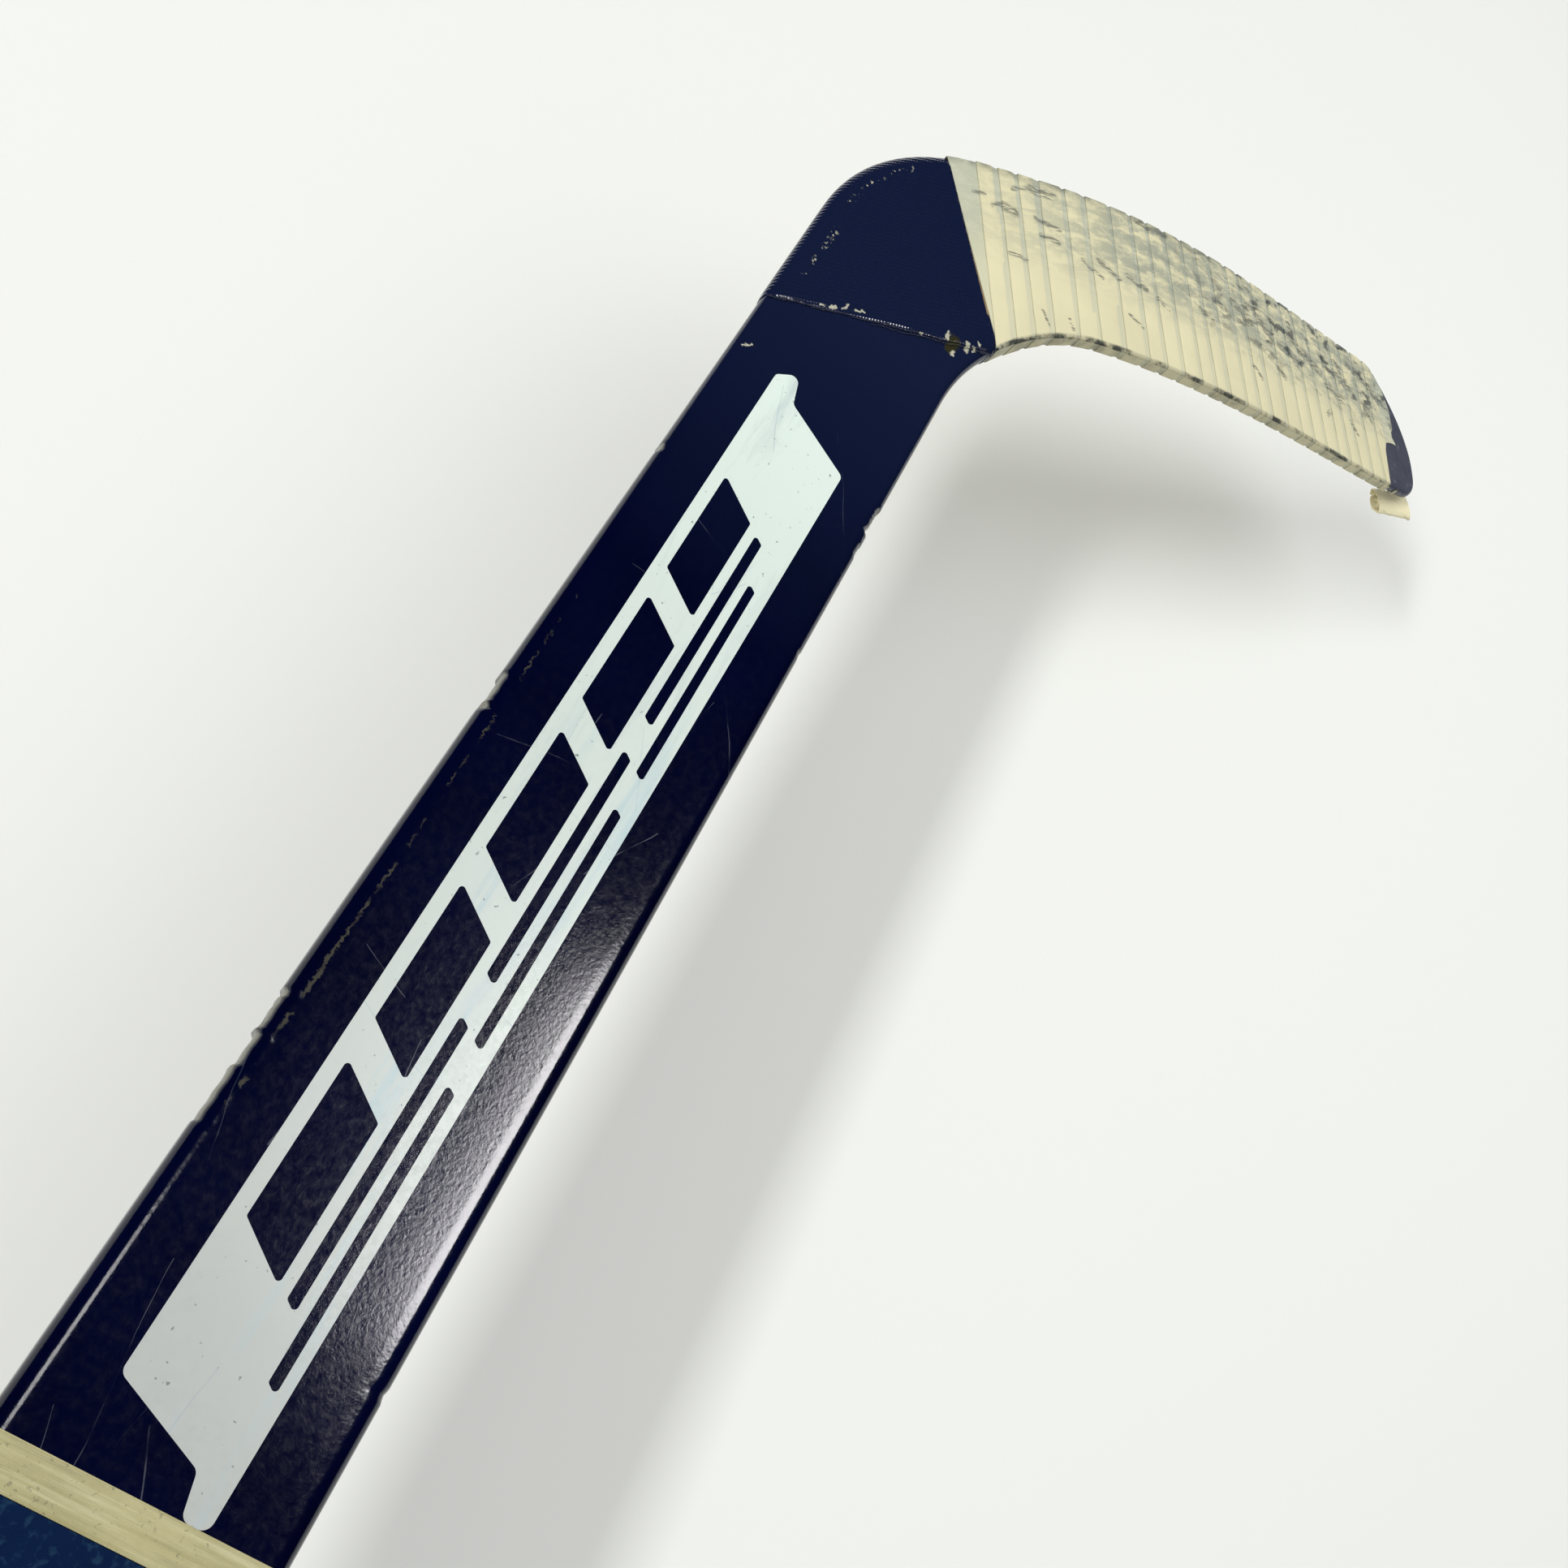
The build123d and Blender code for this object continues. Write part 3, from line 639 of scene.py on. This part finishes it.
def white_cloth():
    """The knob's white tape."""
    shader = Shader("white_cloth")
    plan = plan_axes(shader)
    cloud = shader.noise(70.0, detail=5.0)
    base = shader.mix(shader.remap(cloud, 0.3, 0.75), (0.72, 0.71, 0.66), (0.55, 0.54, 0.49))
    normal = shader.bump(cloth_weave(shader, plan, 0.00045), 0.4, 0.0001)
    return shader.surface(base, 0.75, normal, specular=0.3)


def plain_inside(name, light, dark, scale):
    """Wood or foam that is sealed inside the stick."""
    shader = Shader(name)
    grain = shader.place(scale=scale)
    streak = shader.noise(1.0, detail=4.0, vector=grain)
    normal = shader.bump(streak, 0.3, 0.0002)
    return shader.surface(shader.mix(streak, light, dark), 0.7, normal)


# ---------------------------------------------------------------- pieces
def add_attribute(piece, name, values):
    layer = piece.data.attributes.new(name, "FLOAT", "POINT")
    layer.data.foreach_set("value", np.asarray(values, np.float32).ravel())


# dents along the paddle's two long edges: (start U, end U, depth, which side)
EDGE_DENTS = (
    (336, 350, 0.9, -1), (350, 353, 1.5, -1), (466, 470, 1.0, -1), (470, 481, 0.7, -1),
    (481, 493, 1.2, -1), (493, 512, 0.6, -1), (215, 220, 0.5, -1), (175, 191, 1.3, 1),
    (186, 190, 1.9, 1), (196, 203, 0.6, 1), (548, 552, 0.6, 1), (255, 259, 0.35, 1),
)


def paddle_shell(material):
    """The painted outside of the paddle: both laminates and the rounded side strips."""
    stations = np.arange(46.0, PADDLE_END - 8, 1.25)
    grid, chips = [], []
    for u in stations:
        low, high = -HALF, float(toe_side(u))
        wear = {-1: 0.0, 1: 0.0}
        for start, end, depth, side in EDGE_DENTS:
            inside = min(1.0, max(0.0, (u - start) / 0.8), max(0.0, (end - u) / 0.8))
            wear[side] = max(wear[side], depth * max(0.0, inside))
        low += wear[-1] + 0.12 * math.sin(u * 0.9) * (wear[-1] > 0)
        high -= wear[1] * (0.8 + 0.2 * math.sin(u * 2.3))
        depth = float(paddle_depth(u))
        corner = paddle_corner(u)
        points = ring(low, high, 0.0, -depth, (corner, corner), (26, 7))
        grid.append([(u, a, b) for a, b in points])
        edge_gap = np.minimum(points[:, 0] - low, 99) if wear[-1] else 99
        other_gap = np.minimum(high - points[:, 0], 99) if wear[1] else 99
        near = np.minimum(edge_gap, other_gap)
        side_face = (points[:, 1] < -1.5) & (points[:, 1] > -depth + 1)
        chips.append(np.where((near < 0.6) & side_face, 0.40, 0.0))
    piece = tube("paddle_shell", grid)
    add_attribute(piece, "chip", np.array(chips))
    add_attribute(piece, "fleck", np.zeros(len(piece.data.vertices)))
    return finish_piece(
        piece, material, "navy_paint", "paddle_laminate_front", "paddle_laminate_back",
        "paddle_edge_heel_side", "paddle_edge_toe_side",
    )


WRAP = 0.8  # the sleeve's thickness


def heel_sections(count=110):
    """Lines across the heel from the throat to the outer edge, from the seam to the tape."""
    seam_out, seam_in = (SEAM[0][0], -HALF), (SEAM_INNER, float(toe_side(SEAM_INNER)))
    start_out = blade_to_plan(TAPE_START[0], sole(TAPE_START[0]))
    start_in = blade_to_plan(TAPE_START[1], top(TAPE_START[1]))

    def stretch(path, first, last):
        a = int(np.argmin(np.linalg.norm(path - np.array(first), axis=1)))
        b = int(np.argmin(np.linalg.norm(path - np.array(last), axis=1)))
        piece = path[min(a, b): max(a, b) + 1]
        piece = piece if a < b else piece[::-1]
        piece = np.vstack([np.array(first), piece[1:-1], np.array(last)])
        run = np.concatenate([[0], np.cumsum(np.linalg.norm(np.diff(piece, axis=0), axis=1))])
        shares = np.linspace(0, run[-1], count)
        return np.c_[np.interp(shares, run, piece[:, 0]), np.interp(shares, run, piece[:, 1])]

    return stretch(lower_plan, seam_out, start_out), stretch(upper_plan, seam_in, start_in)


def heel_wrap(material):
    """The glass sleeve: rounded sections that fan out from the throat round the heel."""
    outer, inner = heel_sections()
    grid, flecks = [], []
    for number, (out, inn) in enumerate(zip(outer, inner)):
        line = inn - out
        length = float(np.linalg.norm(line))
        line = line / length
        swell = WRAP * min(1.0, 0.35 + number / 5)
        points = ring(-swell, length + swell * 0.6, swell, -HEEL_DEPTH - swell, (8.5, 4.6), (40, 8))
        wobble = 0.04 * np.sin(points[:, 0] * 1.7 + number * 1.3)
        grid.append([(*(out + line * a), b + w) for (a, b), w in zip(points, wobble)])
        share = number / (len(outer) - 1)
        arc = np.abs(points[:, 0] - (9.6 - 2.0 * share)) < 0.9
        arc = arc & (points[:, 1] > -2) & (0.12 < share < 0.85)
        flecks.append(np.where(arc, 1.0, 0.0))
    piece = tube("heel_wrap_sleeve", grid)
    add_attribute(piece, "chip", np.zeros(len(piece.data.vertices)))
    add_attribute(piece, "fleck", np.array(flecks))
    return finish_piece(piece, material, "glass_sleeve", "heel_wrap", "heel_block")


# name, place across the seam, half width, height, and the share of the seam where it starts
SEAM_BEADS = (
    ("seam_bead", 0.2, 0.8, 0.5, 0.0),
    ("seam_bead_outer", 1.9, 0.5, 0.35, 0.45),
)


def seam_ridge(material):
    """The raised, ragged edge of the glass sleeve: two uneven beads of cloth end and resin."""
    start = np.array([SEAM[0][0], -HALF + 1.0])
    end = np.array([SEAM_INNER, float(toe_side(SEAM_INNER)) - 2.5])
    run = end - start
    length = float(np.linalg.norm(run))
    run = run / length
    side = np.array([run[1], -run[0]])
    for name, shift, width, height, first in SEAM_BEADS:
        grid = []
        for x in np.arange(first * length, length, 0.45):
            near = 0.7 + 0.9 * max(0.0, x / length - 0.55)
            ragged = RANDOM.uniform(0.35, 1.35) * near
            sway = shift + 0.35 * math.sin(x * 0.31) + RANDOM.normal(0, 0.24)
            middle = start + run * x + side * sway
            row = []
            for angle in np.linspace(0, 2 * math.pi, 9)[:-1]:
                spot = middle + side * width * ragged * math.cos(angle)
                row.append((*spot, WRAP * 0.6 + height * ragged * math.sin(angle)))
            grid.append(row)
        piece = tube(name, grid)
        count = len(piece.data.vertices)
        add_attribute(piece, "chip", np.zeros(count))
        add_attribute(piece, "fleck", np.where(RANDOM.uniform(0, 1, count) > 0.985, 0.8, 0.0))
        finish_piece(piece, material, "glass_sleeve")


def blade_body(material):
    """The painted blade under the tape; only its toe shows."""
    near = np.arange(50.0, 380.0, 5.0)
    toe = TIP_S - (TIP_S - 380.0) * (1 - np.sin(np.linspace(0, math.pi / 2, 34))) - 0.02
    grid = []
    for s in np.concatenate([near, toe]):
        low, high = float(sole(s)), float(top(s))
        front, depth = -float(bend(s)), float(blade_depth(s))
        corner = min(2.0, (high - low) * 0.3)
        points = ring(low, high, front, front - depth, (corner, depth * 0.45), (30, 6))
        grid.append([(*blade_to_plan(s, a), b) for a, b in points])
    piece = tube("blade_shell", grid)
    return finish_piece(
        piece, material, "navy_satin", "blade_face_front", "blade_face_back", "blade_toe_strip",
        "blade_sole_strip", "blade_top_strip",
    )


LAYER = 0.42  # thickness of one layer of tape
SINGLE_BAND = 3.0  # how far short of the next edge the tape is a single layer
START_LEAN = (TAPE_START[1] - TAPE_START[0]) / BLADE_HEIGHT
# S of each visible tape edge at the middle of the front face
TAPE_EDGES = [52.2, 65.0, 76.3, 88.3, 104.5, 117.0, 134.0, 149.5]
while TAPE_EDGES[-1] < 362:
    TAPE_EDGES.append(TAPE_EDGES[-1] + float(RANDOM.uniform(11.0, 15.5)))
# where the last turns are torn off at the toe: H and S
TORN = ((0, 378), (10, 391), (22, 395), (35, 394.5), (43, 390), (48, 389.5), (51, 393), (54, 386),
        (58, 379), (64, 376), (75, 374), (86, 372), (92, 371))


def tape_turns(material):
    """One long strip of cloth tape wound round the blade from the heel to the toe."""
    sample = ring(0, 10, 0, -3, (0.1, 0.1), RING_COUNTS)
    around = len(sample)
    columns = np.linspace(0, 1, 14)
    columns[1] = 0.015
    turns = len(TAPE_EDGES) + 1
    knots = [(0.99, 49.0)] + [(k + 1.25, s) for k, s in enumerate(TAPE_EDGES)]
    knots += [(turns + 0.3 + extra, TAPE_EDGES[-1] + 13 * (extra + 1)) for extra in range(4)]
    knot_t, knot_s = np.array(knots).T
    torn_h, torn_s = np.array(TORN, float).T
    fray = RANDOM.normal(0, 1, (turns + 2) * around)
    fray = np.convolve(fray, np.ones(4) / 4, "same")
    rows, layers, seams, folds = [], [], [], []
    # the ring runs front face from the sole up; the tape runs from the top edge down the front
    order = (np.arange(around)[::-1] + RING_COUNTS[0] + 1) % around
    for step in range(turns * around):
        t = step / around
        index = order[step % around]
        centre = float(np.interp(t, knot_t, knot_s)) if t >= 1 else 45.0
        cover = 1.0 if t > 1 else 0.0
        profile = []
        low, high = float(sole(centre)), float(top(centre))
        h = low + (high - low) * sample[index][0] / 10
        start = centre if t >= 1 else TAPE_START[0] + START_LEAN * h
        next_edge = float(np.interp(t + 1, knot_t, knot_s))
        far = float(np.interp(t + 2, knot_t, knot_s)) - SINGLE_BAND
        far = min(far, max(start + 1.5, float(np.interp(h, torn_h, torn_s))))
        for side in (1, 0):
            run = columns if side else columns[::-1]
            for share in run:
                s = start + share * (far - start)
                under = cover * float(np.clip((next_edge - SINGLE_BAND - s) / 0.8 + 0.5, 0, 1))
                lift = LAYER * (1 + under) - (0.0 if side else 0.9 * LAYER)
                if share == 0 and side:
                    lift -= 0.12
                    s += 0.16 * fray[step % len(fray)]
                low, high = float(sole(s)) - lift, float(top(s)) + lift
                front = -float(bend(s)) + lift
                back = -float(bend(s)) - float(blade_depth(s)) - lift
                profile.append((s, low, high, front, back))
                if side:
                    layers.append(1.0 if under > 0.5 else 0.0)
                    seams.append(1.0 if share < 0.01 else 0.0)
                else:
                    layers.append(1.0)
                    seams.append(0.0)
        row = []
        for s, low, high, front, back in profile:
            a, b = RINGS.point(index, low, high, front, back)
            row.append((*blade_to_plan(s, a), b))
            folds.append(RINGS.fold[index])
        rows.append(row)
    piece = tube("blade_tape_turns", rows, sharp=40)
    add_attribute(piece, "layers", layers)
    add_attribute(piece, "seam", seams)
    add_attribute(piece, "fold", folds)
    return finish_piece(piece, material, "cream_tape", "blade_tape")


RING_COUNTS = (56, 5)  # how many steps a ring of tape takes along a face and round a corner


class BladeRing:
    """Single points of a blade section, by their number round the ring."""

    def __init__(self, counts, corner):
        self.corner = corner
        shape = ring(-10.0, 10.0, 10.0, -10.0, (1.0, 1.0), counts)
        self.face = np.clip((shape[:, 0] + 9) / 18, 0, 1)
        self.side = np.clip((shape[:, 1] + 9) / 18, 0, 1)
        self.over = np.c_[
            shape[:, 0] - np.clip(shape[:, 0], -9, 9), shape[:, 1] - np.clip(shape[:, 1], -9, 9)
        ]
        first, rounds = counts
        # how dirty the top edge is: most at the front fold, a little on the side face
        self.fold = np.zeros(len(shape))
        self.fold[first: first + rounds] = 1.3
        self.fold[first + rounds: first + 2 * rounds + 2] = 0.45

    def point(self, index, low, high, front, back):
        r = self.corner
        a = low + r + (high - low - 2 * r) * self.face[index] + r * self.over[index, 0]
        b = back + r + (front - back - 2 * r) * self.side[index] + r * self.over[index, 1]
        return a, b


RINGS = BladeRing(RING_COUNTS, 1.3)


def tape_tail(material):
    """The bunched end of the tape behind the toe's top corner: a strip rolled on itself."""
    half_height, half_depth, width = 10.0, 4.2, 26.0
    centre_s, centre_h = BLADE_LENGTH - 17.0, BLADE_HEIGHT - 0.5
    middle = (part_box("tape_tail")[0].z - ORIGIN[2]) / MM + 4.5
    turns = 2.6
    rows = []
    shake = np.convolve(RANDOM.normal(0, 1, 190), np.ones(5) / 5, "same")
    for number, t in enumerate(np.linspace(0, 1, 150)):
        angle = t * turns * 2 * math.pi + 0.25 * shake[number]
        radius_h = 1.2 + (half_height - 1.7) * t
        radius_w = 0.8 + (half_depth - 1.1) * t
        crease = 0.9 * math.sin(angle * 2.5)
        row = []
        for side in (0.0, 0.55):
            steps = np.linspace(-1, 1, 14)
            for x in steps if side == 0 else steps[::-1]:
                skew = 2.6 * x * math.sin(angle + 0.6) + 1.7 * shake[(number + int(23 * x)) % 150]
                reach = radius_h - side + crease * (1 - x * x) * 0.4
                h = centre_h + reach * math.cos(angle) + skew * 0.4
                w = middle + (radius_w - side * 0.8) * math.sin(angle)
                s = centre_s + x * (width / 2 - 0.7 * (1 - t)) + 0.8 * math.cos(angle * 1.5)
                row.append((*blade_to_plan(s, h), w))
        rows.append(row)
    piece = tube("tape_tail_roll", rows, sharp=50)
    count = len(piece.data.vertices)
    add_attribute(piece, "layers", np.ones(count))
    add_attribute(piece, "seam", np.zeros(count))
    add_attribute(piece, "fold", np.zeros(count))
    return finish_piece(piece, material, "cream_tape", "tape_tail")


def band(name, stations):
    """A closed skin round the paddle, shoulder or shaft. stations are (U, how far out) pairs."""
    grid = []
    for u, out in stations:
        share = np.clip((u - PADDLE_END) / (SHOULDER_END - PADDLE_END), 0, 1)
        half = HALF + (SHAFT_HALF - HALF) * share
        reach = PADDLE_CORNER + (SHAFT_CORNER - PADDLE_CORNER) * share + out
        points = ring(-half - out, half + out, out, -PADDLE_DEPTH - out, (reach, reach), (30, 7))
        grid.append([(u, a, b) for a, b in points])
    return tube(name, grid, sharp=45)


def skin(outer, inner):
    """Stations that go out along the outside and come back along the inside."""
    return list(outer) + list(inner)[::-1]


def paddle_ring(material):
    """The cream tape ring, with the ridge where its end is stuck down."""
    width = RING_END - RING_START
    outer = []
    for share in np.linspace(0, 1, 33):
        ridge = 0.60 * math.exp(-(((share - 0.47) / 0.09) ** 2))
        edge = min(1.0, 0.25 + share * 7, 0.25 + (1 - share) * 7)
        outer.append((RING_START + share * width, 0.05 + 0.70 * edge + ridge))
    inner = [(RING_START + 0.1, 0.02), (RING_END - 0.1, 0.02)]
    piece = band("paddle_tape_ring_cloth", skin(outer, inner))
    return finish_piece(piece, material, "ring_tape", "paddle_tape_ring")


def grip_wrap(material):
    """Blue cloth wound up the paddle's end and over the shoulder, in overlapping turns."""
    outer, u = [], RING_END + 0.2
    turn = 19.0
    while u < GRIP_END:
        share = ((u - RING_END) % turn) / turn
        step = 0.28 if share < 0.04 else 0.62 - 0.34 * share
        outer.append((u, 0.35 + step))
        u += 0.9
    outer.append((GRIP_END, 0.3))
    inner = [(RING_END + 0.3, 0.02), (GRIP_END - 0.2, 0.02)]
    piece = band("paddle_grip_cloth", skin(outer, inner))
    return finish_piece(piece, material, "blue_cloth", "paddle_grip_wrap")


def shaft_shell(material):
    """The painted shaft: its two laminates and two rails as one skin."""
    places = [*np.arange(SHOULDER_END, SHAFT_LENGTH - 0.5, 12.0), SHAFT_LENGTH]
    piece = band("shaft_shell", [(u, 0.0) for u in places])
    add_attribute(piece, "chip", np.zeros(len(piece.data.vertices)))
    return finish_piece(
        piece, material, "navy_paint", "shaft_laminate_front", "shaft_laminate_back",
        "shaft_rail_heel_side", "shaft_rail_toe_side",
    )


KNOB_BUILD = 5.0  # how far the knob stands out from the shaft


def knob(material):
    """White tape wound up the last of the shaft and over the built-up knob."""
    start = (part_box("knob_tape")[0].x - ORIGIN[0]) / MM
    end = (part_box("knob_tape")[1].x - ORIGIN[0]) / MM
    core = (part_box("knob_core")[0].x - ORIGIN[0]) / MM
    outer, u, turn = [], start, 15.0
    while u < end - 0.6:
        share = ((u - start) % turn) / turn
        step = 0.15 if share < 0.05 else 0.5 - 0.3 * share
        rise = KNOB_BUILD * float(np.clip((u - core + 2.2) / 3.4, 0, 1)) ** 1.5
        fall = 1.6 * float(np.clip((u - end + 3.2) / 3.2, 0, 1)) ** 2
        outer.append((u, 0.3 + step + rise - fall))
        u += 0.75
    outer.append((end, 3.6))
    piece = band("knob_tape_turns", outer)
    return finish_piece(piece, material, "white_tape", "knob_tape")


# ---------------------------------------------------------------- stage
def make_camera():
    """The photograph's view: from above the paddle, looking at the heel and blade."""
    data = bpy.data.cameras.new("camera")
    data.lens, data.sensor_width = 33.4, 36
    cam = bpy.data.objects.new("camera", data)
    bpy.context.scene.collection.objects.link(cam)
    right = Vector((-0.4089, 0.7945, 0.4490))
    up = Vector((-0.7664, -0.5661, 0.3037))
    turn = Matrix((right, up, right.cross(up))).transposed().to_4x4()
    spot = Vector(row_frame((574.9, -55.7, 449.1)))
    cam.matrix_world = Matrix.Translation(spot) @ turn
    bpy.context.scene.camera = cam


def area_light(name, place, aim, size, power, color, casts=True):
    """A soft light at a place in the making frame, aimed at a point; its long side lies along X."""
    light = bpy.data.lights.new(name, "AREA")
    light.shape = "RECTANGLE"
    light.size, light.size_y = size[0] * MM, size[1] * MM
    light.energy = power
    light.color = color
    light.use_shadow = casts
    item = bpy.data.objects.new(name, light)
    bpy.context.scene.collection.objects.link(item)
    back = (Vector(place) - Vector(aim)).normalized()
    side = Vector((1, 0, 0))
    side = (side - back * side.dot(back)).normalized()
    turn = Matrix((side, back.cross(side), back)).transposed()
    item.matrix_world = Matrix.Translation(Vector(row_frame(place))) @ turn.to_4x4()
    return item


FLOOR_LEVEL = -0.08  # metres; the stick's shadow lies as far off as it would at this height
FLOOR_REACH = 5.0


def make_stage():
    """The pale floor and the studio light."""
    shader = Shader("floor")
    tone = shader.noise(1.5, detail=2.0)
    color = shader.mix(tone, (0.80, 0.81, 0.80), (0.82, 0.83, 0.82))
    speck = shader.bump(shader.noise(300.0), 0.05, 0.0002)
    material = shader.surface(color, 0.6, speck, specular=0.3)
    mesh = bpy.data.meshes.new("floor")
    signs = ((-1, -1), (1, -1), (1, 1), (-1, 1))
    corners = [(x * FLOOR_REACH, y * FLOOR_REACH, FLOOR_LEVEL) for x, y in signs]
    mesh.from_pydata(corners, [], [(0, 1, 2, 3)])
    mesh.materials.append(material)
    floor = bpy.data.objects.new("floor", mesh)
    bpy.context.scene.collection.objects.link(floor)

    world = bpy.data.worlds.new("world")
    bpy.context.scene.world = world
    world.use_nodes = True
    back = world.node_tree.nodes["Background"]
    back.inputs["Color"].default_value = (1.0, 1.0, 0.97, 1)
    back.inputs["Strength"].default_value = 0.44
    world.cycles_visibility.glossy = False
    bpy.context.scene.view_settings.view_transform = "Standard"

    aim = (200, 90, 0)
    # the key throws the shadow; the fill only lifts it; the last two only make highlights
    key = area_light("key", (1550, -2900, 3000), aim, (2300, 450), 108, (1.0, 1.0, 0.965))
    key.visible_glossy = False
    fill = area_light("fill", (-900, 900, 2300), aim, (2600, 2600), 40, (1.0, 1.0, 0.97), False)
    fill.visible_glossy = False
    glare = area_light("ceiling", (130, 510, 1500), aim, (560, 330), 11.5, (1.0, 0.98, 0.99))
    glare.visible_diffuse = False
    strip = area_light("strip", (560, -500, 1500), aim, (300, 380), 3.2, (1.0, 1.0, 1.0))
    strip.visible_diffuse = False


make_camera()
navy = navy_paint()
sleeve = navy_paint("navy_sleeve", ribs=True)
tape = cloth_tape()
paddle_shell(navy)
heel_wrap(sleeve)
seam_ridge(navy_paint("frayed_paint", gloss=(0.50, 0.70)))
blade_body(satin_navy())
tape_turns(tape)
tape_tail(cloth_tape("tail_cloth", light=(0.80, 0.74, 0.50), marks=False))
paddle_ring(ring_cloth())
grip_wrap(blue_cloth())
shaft_shell(navy)
knob(white_cloth())

wood = plain_inside("core_wood", (0.62, 0.46, 0.28), (0.48, 0.33, 0.18), (20, 400, 400))
foam = plain_inside("core_foam", (0.75, 0.73, 0.66), (0.60, 0.58, 0.50), (500, 500, 500))
silver = silver_print()
for node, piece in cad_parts.items():
    material = foam if "foam" in node else silver if node == "front_panel" else wood
    piece.data.materials.clear()
    piece.data.materials.append(material)
make_stage()
